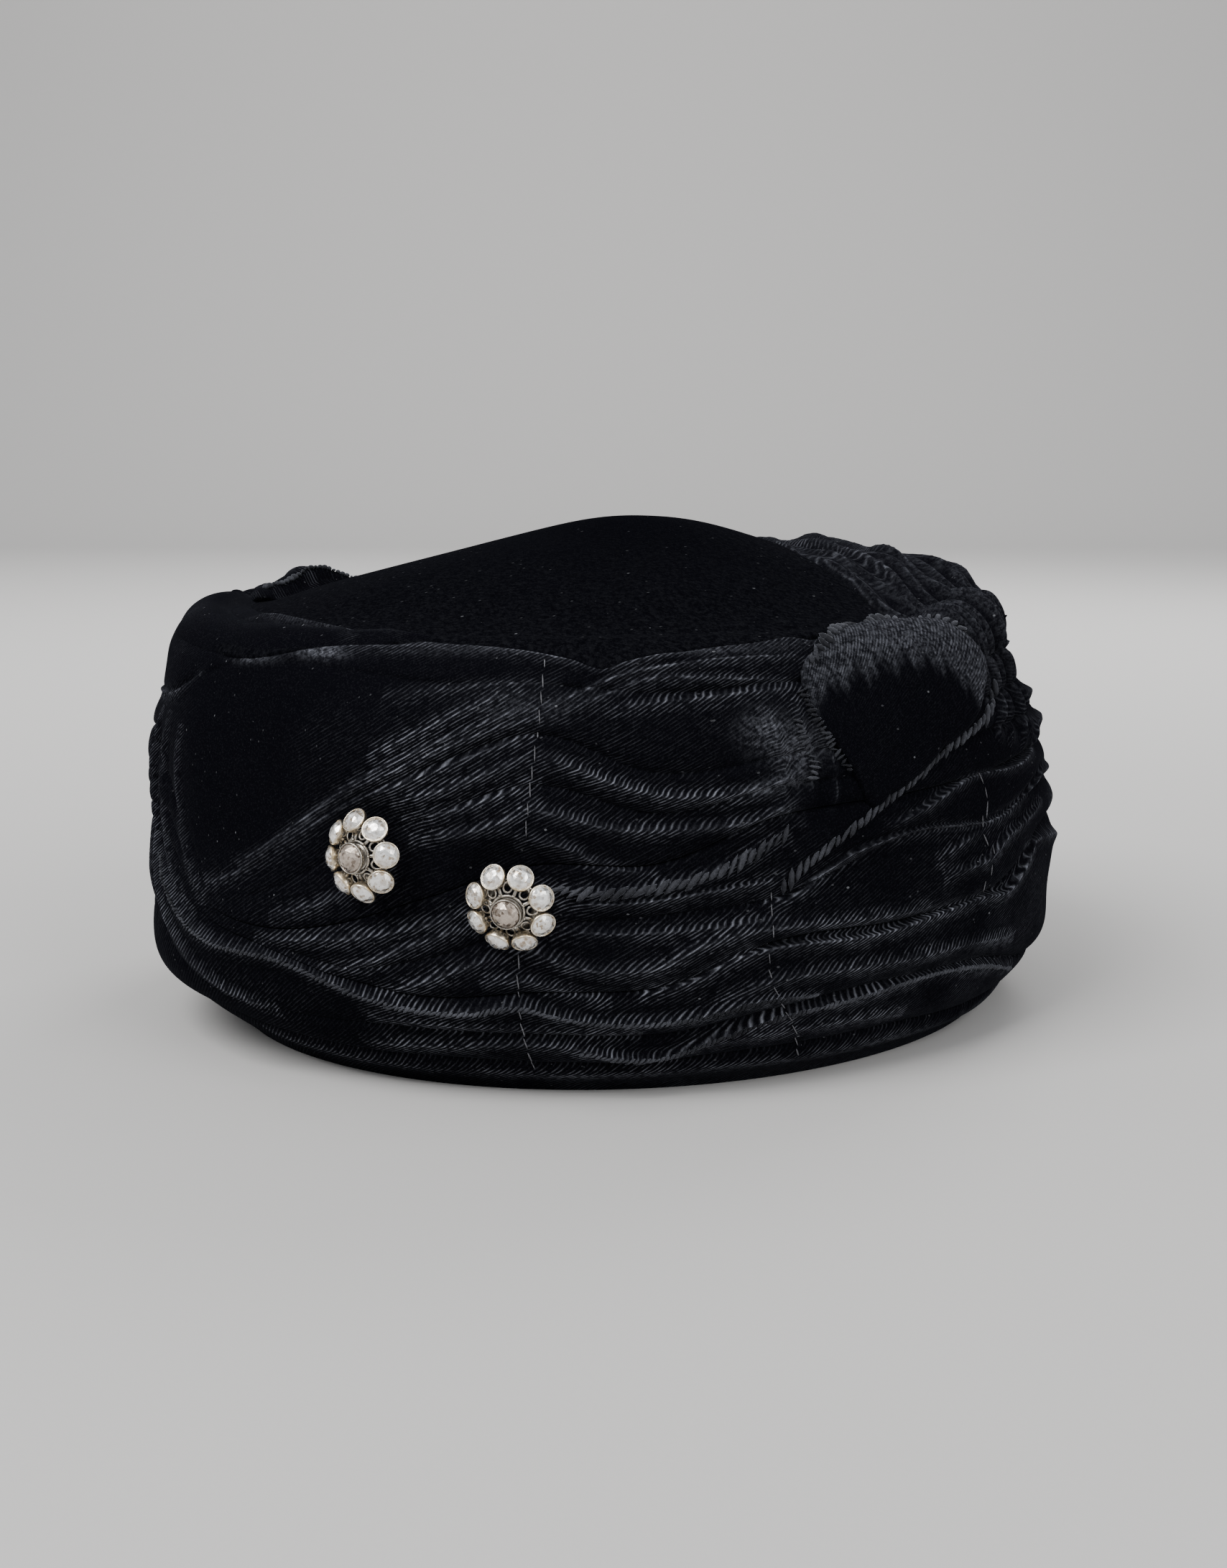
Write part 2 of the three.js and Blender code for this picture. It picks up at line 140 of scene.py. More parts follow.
# %% Grooves between the rolls
GROOVES = {
    "angle": [-60, -30, 0, 10, 20, 30, 40, 50, 62, 75, 88, 105, 120, 138, 180, 230, 270],
    "first": [12, 14, 15, 14, 12, 11, 10, 10, 10, 10, 11, 11, 10, 9, 9, 11, 11],
    "second": [24, 29, 32, 25, 20, 18.5, 18, 18, 18, 17, 21, 23.5, 22, 16, 20, 21, 20],
    "edge": [38, 47, 50, 41, 35.5, 32.5, 28.5, 26, 27.5, 28, 36, 36.5, 38, 47, 44, 35, 32],
    "third": [46, 51, 52, 43, 37, 34, 31, 34, 41, 43, 45, 54, 53, 57, 53, 45, 43],
    "fourth": [55, 57, 55, 46, 38.5, 37, 40, 46, 53, 53, 61, 63, 64, 66, 62, 55, 54],
    "fifth": [64, 64, 60, 50, 41, 45, 54, 62, 69, 63, 67, 69, 73, 74, 71, 65, 65],
    "sixth": [73, 72, 68, 55, 44, 52, 64, 72, 79, 71, 73, 76, 80, 82, 80, 75, 76],
    "last": [84, 81, 80, 86, 91, 92, 91, 89, 89, 87, 88, 89, 89, 90, 90, 87, 87],
}
CROWN_EDGE = {    # where the drape ends and the plain velvet of the crown begins
    "angle": [-60, -38, -10, 0, 10, 16, 22, 28, 35, 45, 55, 60, 65, 69, 73, 78, 83, 90, 96, 105,
              112, 115.1, 117, 120, 125, 130, 140, 150, 160, 180, 200, 210, 220, 230, 235, 240, 243,
              246, 255, 270],
    "along": [104, 104, 100, 97, 93.5, 92, 92, 94, 97, 98, 97, 96, 94, 91.5, 94, 95.5, 97, 98, 99, 102,
              104.5, 106.5, 110.8, 116.9, 124.6, 130.3, 137.8, 142.3, 145, 147, 145, 142.3, 137.8, 130.3,
              124.6, 116.9, 110.8, 106, 104, 104],
}
RIDGE = 1.7       # a full roll stands this far out of the form
GROOVE = 2.2      # and the groove beside it lies this far in
FULL_ROLL = 9.0   # a roll at least this wide has its full relief


def groove(name, angle):
    """The along value of a groove at an angle."""
    return smooth(GROOVES["angle"], GROOVES[name], angle, 360)


def crown_edge(angle):
    return smooth(CROWN_EDGE["angle"], CROWN_EDGE["along"], angle, 360)


ROLL_SHARE = {    # how full the rolls are round the hat
    "angle": [-60, -30, 0, 10, 20, 40, 62, 90, 120, 150, 180, 210, 240, 270],
    "share": [0.6, 0.45, 0.4, 0.3, 0.15, 0.25, 0.35, 0.45, 0.55, 0.75, 0.6, 0.8, 0.55, 0.75],
}
RAISED = {        # how far the drape stands up round the crown, where, and over what reach
    "angle": [-75, -60, -40, -22, -8, 8, 108, 118, 128, 140, 160, 185, 205, 225, 245, 270],
    "rise": [0.8, 2.4, 3.2, 2.8, 1.2, 0, 0, 0.6, 3.0, 5.0, 6.0, 6.0, 4.5, 2.4, 1.2, 0.8],
    "along": [97, 97, 97, 97, 97, 97, 100, 106, 112, 114, 115, 115, 113, 106, 99, 97],
    "reach": [9, 9, 9, 9, 9, 9, 9, 10, 14, 18, 20, 20, 17, 13, 10, 9],
}
LEANING = (155.0, 36.0, 84.0, 12.0, 2.2)   # middle angle, half width, along, half height, how far in
BULGE_SKEW, BULGE_FULLNESS = 0.85, 0.4     # a roll is fullest a little below its middle, and blunt
THINNEST_ROLL = 0.05


def rolls(angle, along, grooves):
    """Height of the rolls over the form: each bulges between the two grooves beside it."""
    relief = np.full(along.shape, -GROOVE)
    for low, high in zip(grooves[:-1], grooves[1:]):
        width = np.maximum(high - low, THINNEST_ROLL)
        share = np.clip((along - low) / width, 0, 1)
        bulge = np.clip(1 - (2 * share**BULGE_SKEW - 1) ** 2, 0, 1) ** BULGE_FULLNESS
        fullness = np.clip(width / FULL_ROLL, 0, 1)
        inside = (along >= low) & (along < high)
        relief = np.where(inside, fullness * (RIDGE * bulge - GROOVE * (1 - bulge)), relief)
    share = smooth(ROLL_SHARE["angle"], ROLL_SHARE["share"], angle, 360)
    rise, place, reach = (smooth(RAISED["angle"], RAISED[name], angle, 360)
                          for name in ("rise", "along", "reach"))
    middle, wide, height, tall, depth = LEANING
    lean = depth * np.exp(-((aside(angle, middle) / wide) ** 4) - ((along - height) / tall) ** 2)
    return relief * share + rise * np.exp(-(((along - place) / reach) ** 4)) - lean

# %% [markdown]
# ## The small folds
# On top of the rolls lie the folds that give velvet its light: narrow crests where the pile turns
# towards the eye. Each row is one crest: its half width, its height, its lean (a crest that leans up
# is steep above and gentle below) and its route. Folds that run round the hat are tabled by angle,
# and the gathers that climb it by their distance along.

# %% Crests that run round the hat
# name, half width, height, lean, route of (angle, along)
ROUND_FOLDS = [
    ("rim crest", 3.2, 0.5, 0.2, [(20, 8), (40, 6.5), (60, 6), (80, 7), (100, 7), (120, 6), (150, 5)]),
    ("second crest", 1.3, 0.9, 0.5, [(66, 13.5), (75, 11.5), (82, 16), (88, 19), (96, 20.5),
                                     (110, 22.5), (120, 20.5), (127, 17.5), (133, 14.5)]),
    ("second swell", 1.8, 0.6, 0.2, [(40, 13), (50, 14), (58, 15.5), (63, 15.5), (70, 12.5), (76, 11)]),
    ("low swell", 1.8, 0.5, 0.2, [(80, 14), (86, 15.5), (96, 16), (106, 15)]),
    ("braid lower", 1.7, 1.0, 0.4, [(45, 23.5), (54, 23), (60, 24.5), (64, 22.5), (68, 20.8), (75, 20.3),
                                    (80, 21.5), (86, 23.5), (93, 23)]),
    ("braid under", 1.2, 0.5, 0.3, [(42, 20.5), (50, 19.7), (58, 19.6), (64, 18.8), (72, 18)]),
    ("front sweep", 1.8, 1.2, 0.5, [(2, 45), (6, 41.5), (10, 37.5), (15, 33.3), (20, 31.3), (26, 31),
                                    (31, 30.6), (36, 28.6), (42, 25.2), (48, 23.4)]),
    ("front sweep low", 1.6, 0.9, 0.4, [(3, 37), (7, 32.5), (12, 28), (17, 23.8), (22, 20.8), (28, 18.6)]),
    ("third crest", 1.8, 0.8, 0.3, [(82, 24.8), (88, 28), (95, 28.3), (105, 28), (116, 27.5), (128, 25)]),
    ("edge crest", 1.1, 1.2, 0.7, [(73, 26.8), (79, 29.5), (83, 33), (88, 34.6), (100, 34.5), (110, 36),
                                   (119, 37), (124, 36.6), (129, 40), (135, 44.5)]),
    ("fan foot", 1.5, 0.7, 0.4, [(57, 30.3), (61, 30.2), (64, 28.6), (69, 25.8)]),
    ("waist swell", 1.9, 0.9, 0.3, [(58, 37.5), (62, 36), (66, 33.3), (70, 32), (75, 32.7), (80, 36.8),
                                    (86, 38.6), (95, 38.2), (108, 38)]),
    ("waist thread", 0.9, 0.5, 0.5, [(64, 40.3), (72, 39.6), (82, 40), (88, 41)]),
    ("waist crest", 0.9, 0.9, 0.7, [(65, 45.6), (72, 45.3), (80, 46.8), (88, 48.4)]),
    ("waist braid", 1.6, 1.1, 0.5, [(63, 48.5), (70, 47.4), (75, 48.2), (79, 49.4), (83, 52), (87, 55.5),
                                    (88.7, 57.2)]),
    ("loop crest", 1.1, 1.3, 0.7, [(87, 44), (90, 45), (93, 48), (96, 51), (101, 53.4), (107, 54.7),
                                   (114, 53.8), (121, 53), (128, 54.6), (134, 57.5), (140, 61)]),
    ("loop over", 1.1, 1.1, 0.7, [(102, 56.6), (108, 59.6), (113, 62.3), (118, 63.8), (127, 63.4),
                                  (133, 64.6), (138, 67), (144, 71.5)]),
    ("back tuck", 1.2, 0.8, 0.5, [(111, 44.3), (119, 45.5), (124, 48.8), (130, 50.5), (138, 53)]),
    ("back tuck high", 1.1, 0.7, 0.5, [(110, 48), (114, 50.3), (119, 52)]),
    ("fan one", 1.5, 1.0, 0.5, [(62, 74.8), (66, 72), (70, 69), (75, 66.3), (80, 65.6), (86, 66.7),
                                (91, 70)]),
    ("fan two", 1.5, 1.0, 0.5, [(61, 64.4), (65, 62.6), (70, 60), (76, 59.4), (82, 59.6), (86, 60.6),
                                (91, 65)]),
    ("fan three", 1.2, 0.7, 0.4, [(61, 58.4), (65, 56.6), (69, 53), (74, 51)]),
    ("edge fold one", 1.0, 1.0, 0.6, [(63, 84), (67, 87), (71, 89.8), (76, 91.6), (82, 92.8), (92, 93)]),
    ("edge fold two", 0.9, 0.8, 0.6, [(64, 82.5), (69, 86), (74, 89), (79, 89.3), (85, 88.6), (91, 88)]),
    ("edge fold three", 0.9, 0.6, 0.4, [(70, 84), (76, 84.8), (84, 86), (91, 86.6)]),
    ("crown crest", 1.5, 1.4, 0.3, [(44, 96.5), (53, 97), (60, 95.6), (65, 93.6), (69, 92), (73, 93.4),
                                    (79, 96.4), (86, 98.2), (91, 98), (96, 96)]),
    ("sash one", 0.8, 0.7, 0.5, [(18, 43.5), (24, 46.6), (28, 50.6), (33, 56.2), (38, 62.4), (42, 66.6),
                                 (48, 71.8), (55, 77.8), (62, 82)]),
    ("sash two", 0.8, 0.8, 0.5, [(24, 48.6), (30, 54), (35, 60), (40, 66), (45, 71), (50, 75.6), (61, 84)]),
    ("sash three", 0.8, 0.7, 0.5, [(30, 51.5), (36, 58.5), (41, 63.8), (47, 68), (54, 73.4), (61, 78.6)]),
    ("sash four", 0.9, 0.5, 0.4, [(44, 74), (50, 79.4), (55, 84), (61, 88)]),
    ("sash five", 0.9, 0.6, 0.4, [(45, 86), (51, 87.4), (57, 88.6), (64, 89)]),
    ("rise one", 1.1, 0.7, 0.4, [(47, 65), (53, 68), (57, 71), (62, 75)]),
    ("rise two", 1.1, 0.7, 0.4, [(48, 61.4), (54, 64), (58, 66.6), (62, 70)]),
    ("rise three", 1.1, 0.7, 0.4, [(49, 57.6), (54, 59), (58, 61), (62, 64.5)]),
    ("rise low one", 1.1, 0.6, 0.4, [(31, 40), (37, 43), (41, 46), (46, 50)]),
    ("rise low two", 1.1, 0.6, 0.4, [(28, 33.6), (34, 35.5), (39, 36.6), (45, 38.4), (50, 40.6), (56, 44)]),
    ("rise low three", 1.1, 0.6, 0.4, [(36, 29.4), (43, 32), (48, 36), (53, 39.5), (57, 42)]),
    ("rise low four", 1.0, 0.6, 0.4, [(45, 26), (50, 29.5), (55, 33), (59, 36)]),
    ("front arch", 0.8, 0.8, 0.6, [(-24, 79), (-10, 79.5), (0, 80.3), (5, 81.4), (9, 84), (12.5, 88)]),
    ("crown start", 1.0, 0.8, 0.4, [(18, 90.5), (26, 91.6), (33, 95), (40, 97), (50, 97.2)]),
]

# %% Gathers that climb the hat
# name, half width, height, lean, route of (along, angle)
CLIMBING_FOLDS = [
    ("front gather one", 2.0, 1.0, 0.3, [(36, 14), (42, 9), (50, 5), (60, 3), (68, 3), (76, 4)]),
    ("front gather two", 1.8, 1.5, 0.4, [(32, 8), (40, 3), (52, -1), (65, -2.5), (76, -1.5)]),
    ("front gather three", 2.6, 1.1, 0.2, [(33, 1), (44, -6), (56, -9), (66, -8), (78, -9)]),
    ("front gather four", 1.9, 1.3, 0.4, [(30, -10), (38, -15), (50, -17), (60, -15.5)]),
    ("front gather five", 2.2, 0.9, 0.2, [(52, -23), (62, -24), (76, -21), (84, -20)]),
    ("pinch one", 0.9, 0.6, 0.2, [(60, 94.5), (68, 95), (75, 94), (84, 92.6)]),
    ("pinch three", 0.8, 0.5, 0.2, [(60, 91), (68, 92), (76, 91.4), (86, 90.4)]),
    ("pinch two", 0.9, 0.6, 0.2, [(62, 88.4), (68, 88.8), (76, 88.2), (82, 87)]),
    ("front gather zero", 1.6, 0.7, 0.3, [(40, 17), (48, 12.5), (56, 10), (64, 9), (74, 9.5)]),
    ("far stack one", 1.6, 1.0, 0.3, [(84, -46), (95, -44), (104, -41)]),
    ("far stack two", 1.6, 1.0, 0.3, [(84, -38), (95, -37), (104, -34)]),
    ("far stack three", 1.5, 0.9, 0.3, [(86, -54), (96, -52), (104, -50)]),
]

# %% Relief of the small folds
FADE = 8.0                # a crest fades in and out over this many millimetres at its ends
FADE_BEFORE = 0.3         # and this share of that lies beyond its route
OVERHANG = 0.55           # a leaning crest is pushed this share of its height to its steep side
FOLD_MARGINS = (8, 14)    # degrees and millimetres round a route that its crest may reach
CREST_CUT = 6             # half widths from its middle where a crest is cut off
STEEPER, GENTLER = 0.55, 0.7    # a full lean narrows the steep side and widens the other by these shares
TUCK_DEPTH, TUCK_PLACE = 0.4, 1.9    # share of the height, and widths of the steep side
CREST_POWER = 1.7         # lower for a sharper crest


def crest(offset, half_width, lean):
    """The section of a crest: one at its top, with a tuck under its steep side."""
    steep = half_width * (1 - STEEPER * lean)
    gentle = half_width * (1 + GENTLER * lean)
    far = np.abs(np.where(offset > 0, offset / steep, offset / gentle))
    tuck = TUCK_DEPTH * lean * np.exp(-(((offset - TUCK_PLACE * steep) / steep) ** 2))
    return np.exp(-(far**CREST_POWER)) - tuck


def near_angle(angle, middle):
    """The angle, turned by whole rounds to lie within half a round of the middle."""
    return aside(angle, middle) + middle


def near_fold(angle, along, fold, climbing):
    """Which points are near enough to a fold to be raised by it."""
    steps, places = np.array(fold[-1], float).T
    angles, alongs = (places, steps) if climbing else (steps, places)
    turned = near_angle(angle, angles.mean())
    wide, tall = FOLD_MARGINS
    return ((turned > angles.min() - wide) & (turned < angles.max() + wide)
            & (along > alongs.min() - tall) & (along < alongs.max() + tall))


def fold_height(angle, along, fold, climbing):
    """One crest: its height, its pushes along and round the hat, the offset from it, its fade."""
    half_width, height, lean, route = fold[1:]
    steps, places = np.array(route, float).T
    turned = near_angle(angle, (places if climbing else steps).mean())
    runs, across = (along, turned * PER_DEGREE) if climbing else (turned, along)
    scale = 1.0 if climbing else PER_DEGREE
    places = places * (PER_DEGREE if climbing else 1.0)
    centre = smooth(steps, places, runs)
    slope = (smooth(steps, places, runs + 0.5) - smooth(steps, places, runs - 0.5)) / scale
    offset = (across - centre) / np.sqrt(1 + slope**2)
    ends = np.minimum(runs - steps[0], steps[-1] - runs) * scale
    fade = ease(ends, -FADE_BEFORE * FADE, FADE)
    section = fade * (np.abs(offset) < CREST_CUT * half_width) * height * crest(offset, half_width, lean)
    push = OVERHANG * lean * np.maximum(section, 0) / np.sqrt(1 + slope**2)
    if climbing:
        return section, -push * slope, push / PER_DEGREE, offset, fade
    return section, push, -push * slope / PER_DEGREE, offset, fade

# %% All the small folds together
CREST_REACH = 4.0         # past this distance from every crest, a point counts as being on none
FAINT = 0.02              # a crest that has faded this far is not counted
BRIGHTEST = 1.2           # crests higher than this get no brighter painted highlight
CLIMBING_SHARE = 0.6      # how bright the gathers' painted highlight is beside that of the folds that run round


def small_folds(angle, along, round_folds=ROUND_FOLDS, climbing_folds=CLIMBING_FOLDS):
    """Sums of the crests' heights and pushes, the distance to the nearest crest, and its share."""
    total = np.zeros((3,) + along.shape)
    nearest = np.full(along.shape, CREST_REACH)
    share = np.zeros(along.shape)
    for folds, climbing in ((round_folds, False), (climbing_folds, True)):
        for fold in folds:
            near = near_fold(angle, along, fold, climbing)
            *moves, offset, fade = fold_height(angle[near], along[near], fold, climbing)
            total[:, near] += moves
            closer = (fade > FAINT) & (np.abs(offset) < np.abs(nearest[near]))
            nearest[near] = np.where(closer, offset, nearest[near])
            shown = fade * min(fold[2], BRIGHTEST) * (CLIMBING_SHARE if climbing else 1.0)
            share[near] = np.where(closer, shown, share[near])
    return (*total, np.abs(nearest), share)

# %% [markdown]
# ## Folds on the far side
# On the right and the back the strips simply go round the block. There the folds have no plan of
# their own: they follow the rolls, start and stop where the cloth was eased in, and drift a little
# up or down. So they are drawn by chance, from a fixed seed.

# %% Folds drawn by chance
FAR_FOLDS = 64
chance = np.random.default_rng(21)


def roll_level(angle, level):
    """The along value at a level counted in grooves, from the rim (0) to the drape's edge (9)."""
    lines = [0.0] + [float(groove(name, angle)) for name in GROOVES if name != "angle"] + [104.0]
    return float(np.interp(level, range(len(lines)), lines))


def far_fold(number):
    """A fold round the back or the right, its place, length, drift, size and lean drawn by chance."""
    middle, half = chance.uniform(156, 330), chance.uniform(9, 30)
    level, drift = chance.uniform(0.5, 8.7), chance.uniform(-0.8, 0.8)
    route = []
    for t in np.linspace(-1, 1, 6):
        wave = 0.12 * math.sin(number + 2.6 * t)
        place = np.clip(level + drift * t + wave, 0.3, 8.9)
        route.append((middle + half * t, roll_level(middle + half * t, place)))
    half_width, height, lean = chance.uniform(0.8, 1.8), chance.uniform(0.5, 1.3), chance.uniform(0.2, 0.6)
    return (f"far fold {number}", half_width, height, lean, route)


ROUND_FOLDS += [far_fold(number) for number in range(FAR_FOLDS)]

# %% [markdown]
# ## The stack behind the crown
# Behind the plain crown the drape goes straight over the block from side to side, in a stack of
# ropy folds. They come up the left side behind the puffed panel, turn over the edge and cross the
# back of the crown. A fold that turns like that isn't a simple table of angles, so each is a curve
# on the form, and its height depends on the true distance from that curve.

# %% Folds that cross the back of the crown
STACK = [
    # how far behind the head's axis it crosses, half width, height, start up the side, how bright its
    # painted crest highlight is
    (39.6, 1.1, 1.4, 78, 0.9), (43, 1.4, 1.5, 72, 0.3), (46.5, 1.3, 2.1, 68, 0.8), (50, 1.5, 1.3, 66, 0.2),
    (55, 1.6, 2.3, 64, 0.6), (60, 1.4, 1.6, 64, 0.3), (64, 1.9, 2.2, 68, 0.7), (71, 1.7, 1.4, 74, 0.3),
    (78, 2.2, 1.8, 80, 0.5),
]
CROWN_BACK = RINGS["back"][-1]
SIDE_BENDS = [(0.0, 1.5), (0.25, 4.5), (0.55, 5.5), (0.85, 3.0)]   # share of the way up, degrees back
CROWN_SPAN = (0.96, -0.9)           # it crosses the crown between these shares of its half width
STACK_STEP = 0.5                    # millimetres between the points of a route
STACK_ZONE = (105, 262, 55)         # the stack lies between these angles, above this distance along
STACK_FADE = 12                     # its folds fade over this distance at their ends
STACK_FAINT = 0.1                   # and stop counting as crests when they have faded this far
STACK_LEAN = 0.35
LUMPS = (0.3, 0.21)                 # a fold's height varies by this share, at this many radians per mm


def stack_route(behind, start, seed):
    """Points of a fold that climbs the left side and crosses the crown to the far side."""
    turn = math.degrees(math.acos(-(behind - AXIS_SHIFT) / CROWN_BACK))
    route = [(turn + bend, start + (SEAM - start) * share) for share, bend in SIDE_BENDS]
    edge = SEAM_SIDE * math.sin(math.radians(turn))
    for i, x in enumerate(np.linspace(*CROWN_SPAN, 9) * edge):
        y = behind - AXIS_SHIFT + min(seed, 1.5) * math.sin(seed * 2.3 + i * 1.1)
        share = math.hypot(x / SEAM_SIDE, y / CROWN_BACK)
        route.append((math.degrees(math.atan2(x / SEAM_SIDE, -y / CROWN_BACK)) % 360,
                      SEAM + SEAM_SIDE * (1 - share)))
    angle, along = np.array(route).T
    corners = form(angle, along)
    lengths = np.concatenate([[0], np.cumsum(np.linalg.norm(np.diff(corners, axis=0), axis=1))])
    at = np.arange(0, lengths[-1], STACK_STEP)
    return form(smooth(lengths, angle, at), smooth(lengths, along, at))


def offset_from(route, points, out):
    """How far points lie to one side of a route, and how far the nearest of its ends is along it."""
    heading = np.gradient(route, axis=0)
    apart, side, ends = np.full(len(points), np.inf), np.zeros(len(points)), np.zeros(len(points))
    for i, corner in enumerate(route):
        gap = points - corner
        square = (gap**2).sum(-1)
        closer = square < apart
        apart[closer] = square[closer]
        side[closer] = (np.cross(heading[i], gap[closer]) * out[closer]).sum(-1)
        ends[closer] = min(i, len(route) - 1 - i) * STACK_STEP
    return np.sign(side) * np.sqrt(apart), ends


def stack_folds(angle, along):
    """Height of the stack's folds, the distance to the nearest one, and its share."""
    height, share = np.zeros(along.shape), np.zeros(along.shape)
    nearest = np.full(along.shape, CREST_REACH)
    first, last, lowest = STACK_ZONE
    near = (angle % 360 > first) & (angle % 360 < last) & (along > lowest)
    points, out = form(angle[near], along[near]), outwards(angle[near], along[near])
    for seed, (behind, half_width, tall, start, bright) in enumerate(STACK):
        route = stack_route(behind, start, seed)
        offset, ends = offset_from(route, points, out)
        fade = ease(ends, 0, STACK_FADE)
        lumps = 1 + LUMPS[0] * np.sin(LUMPS[1] * points[..., 0] + 2.1 * seed)
        height[near] += tall * lumps * fade * crest(offset, half_width, STACK_LEAN)
        closer = (np.abs(offset) < np.abs(nearest[near])) & (fade > STACK_FAINT)
        nearest[near] = np.where(closer, offset, nearest[near])
        share[near] = np.where(closer, bright * fade, share[near])
    return height, np.abs(nearest), share


print("folds:", len(ROUND_FOLDS), "round the hat and", len(CLIMBING_FOLDS), "up it")

# %% [markdown]
# ## Where the drape is pressed flat
# The flowers, the puffed panel and the front peak are sewn over the drape, so it lies low under
# them. The panel and the peak are tabled by their lower and upper borders.

# %% Panel, peak and flower places
PANEL = {
    "angle": [92, 93, 95, 97, 99.5, 103, 107.5, 112, 116, 119.5, 122.5, 124.5],
    "low": [87, 80, 75, 69.5, 61.5, 63.5, 67, 71, 74, 77.5, 82, 86.5],
    "high": [90, 92.5, 95, 97.3, 100, 103, 107, 109.5, 108.5, 103, 95, 89],
    "puff": [0, 0.1, 0.3, 0.5, 0.7, 0.9, 1.0, 1.0, 0.9, 0.6, 0.3, 0],
    "low_reach": [3, 3, 3, 3, 3, 3, 3, 3, 3, 3, 4, 5],
    "high_reach": [3, 4, 5, 6, 6, 7, 7, 7, 7, 7, 6, 5],
}
PEAK = {
    "angle": [-38, -28, -10, 10, 22, 34, 42, 49],
    "low": [97, 95, 93, 92, 92, 96, 97.5, 98.5],
    "high": [101, 107, 110, 110, 109, 106.5, 103.5, 100.5],
    "puff": [0.6, 1.0, 1.1, 0.6, 0.3, 0.2, 0.2, 0.1],
    "low_reach": [3, 10, 18, 18, 12, 6, 4, 2],
    "high_reach": [2, 5, 6, 6, 4, 3, 2.5, 1.5],
}
FLOWERS = {
    "flower_1": {"angle": 44.3, "along": 54.5},
    "flower_2": {"angle": 60.0, "along": 46.0},
}
PRESSED = -1.6            # relief of the drape where something lies on it
PAD_PRESS = 5             # a pad presses it fully this far inside its outline
FLOWER_PRESS = (8, 14)    # and a flower over the first distance, easing out to the second
FLOWER_SHARE = 0.6        # but only by this share


def pad_depth(pad, angle, along):
    """How far inside a pad's outline a point is, in millimetres, and less than nothing outside."""
    turned = aside(angle, 0)
    low, high = (smooth(pad["angle"], pad[side], turned) for side in ("low", "high"))
    ends = np.minimum(turned - pad["angle"][0], pad["angle"][-1] - turned) * PER_DEGREE
    return np.minimum(np.minimum(along - low, high - along), ends)


def flower_distance(angle, along):
    return np.min([np.hypot((angle - place["angle"]) * PER_DEGREE, along - place["along"])
                   for place in FLOWERS.values()], axis=0)


def pressed(angle, along):
    """One where the drape lies flat under a pad or a flower, easing to nothing beside it."""
    covers = [ease(pad_depth(pad, angle, along), 0, PAD_PRESS) for pad in (PANEL, PEAK)]
    covers.append(FLOWER_SHARE * (1 - ease(flower_distance(angle, along), *FLOWER_PRESS)))
    return np.max(covers, axis=0)

# %% [markdown]
# ## From folds to a surface
# Crests are pushed over to their lee side as well as out, so that a leaning crest overhangs the
# tuck beneath it as a real fold does. Slow random swells keep any stretch from being quite true.

# %% Swells and fullness of the cloth
SWELLS = np.random.default_rng(7).uniform(size=(14, 4))
SWELL_HEIGHT = 0.3
# where the wound cloth stands fuller or flatter than the block: angle, along, half sizes, height
FULLNESS = [
    (0, 20, 26, 8, 3.3),        # the thick roll over the brow
    (351, 44, 22, 12, -1.7),
    (346, 97, 8, 7, -1.2),
    (307, 101, 7, 8, 4.4),      # a lump of gathers right of the peak
    (166, 127, 18, 9, -4.8),
    (155, 93, 14, 9, -10.0),    # the hollow where the stack turns over the edge
    (150, 82, 15, 8, -2.0),
    (148, 41, 14, 8, 1.3),
    (143, 20, 16, 8, 2.2),      # the thick roll at the nape
]


def fullness(angle, along):
    """How far those places together raise or lower the drape."""
    total = np.zeros(along.shape)
    for *place, rise in FULLNESS:
        total += rise * spot(angle, along, place)
    return total


def swells(angle, along):
    """A sum of slow waves, each with its own number of rounds, climb, phase and height."""
    turn = np.radians(angle)
    total = np.zeros(along.shape)
    for a, b, c, d in SWELLS:
        total += np.sin(round(2 + 11 * a) * turn + (0.05 + 0.16 * b) * along + 6.3 * c) * (0.4 + d)
    return SWELL_HEIGHT * total / 3

# %% The draped surface
RIM_EASE = (1.0, 9.0)     # the folds begin at the first distance from the rim, and are full at the second


def free_relief(angle, along):
    """The relief of the drape where nothing presses it, and what small_folds gives besides heights."""
    lines = [groove(name, angle) for name in GROOVES if name != "angle"]
    relief = rolls(angle, along, [0 * lines[0]] + lines + [crown_edge(angle)])
    height, along_push, angle_push, offset, share = small_folds(angle, along)
    stacked, apart, stack_share = stack_folds(angle, along)
    relief = relief + height + stacked + swells(angle, along) + fullness(angle, along)
    closer = apart < offset
    offset, share = np.where(closer, apart, offset), np.where(closer, stack_share, share)
    return relief, along_push, angle_push, offset, share


def draped_points(angle, along):
    """Points of the drape's outer face, its relief, and the offset and share of the nearest crest."""
    relief, along_push, angle_push, offset, share = free_relief(angle, along)
    cover = pressed(angle, along)
    full = ease(along, *RIM_EASE)
    free = (1 - cover) * full
    relief = (relief * (1 - cover) + PRESSED * cover) * full
    points = form(angle + angle_push * free, along + along_push * free)
    points += relief[..., None] * outwards(angle, along)
    points[..., 2] = np.maximum(points[..., 2], 0)
    return points, relief, offset, share * free

# %% [markdown]
# ## Meshes from grids
# A strip is a grid of columns round the hat and rows across the cloth. The helper below joins a
# grid of points into faces. It also lays the cloth's own coordinates on it: millimetres across and
# along the velvet's ribs, which lean up towards the back, measured over every fold and tuck.

# %% Mesh helpers
RIB_LEAN = math.radians(33)
RIB_BEND = 0.9            # how far the ribs bend where the cloth climbs over a fold
BACK_SEAM = 150           # the angle at the back left from which the cloth's coordinates are measured
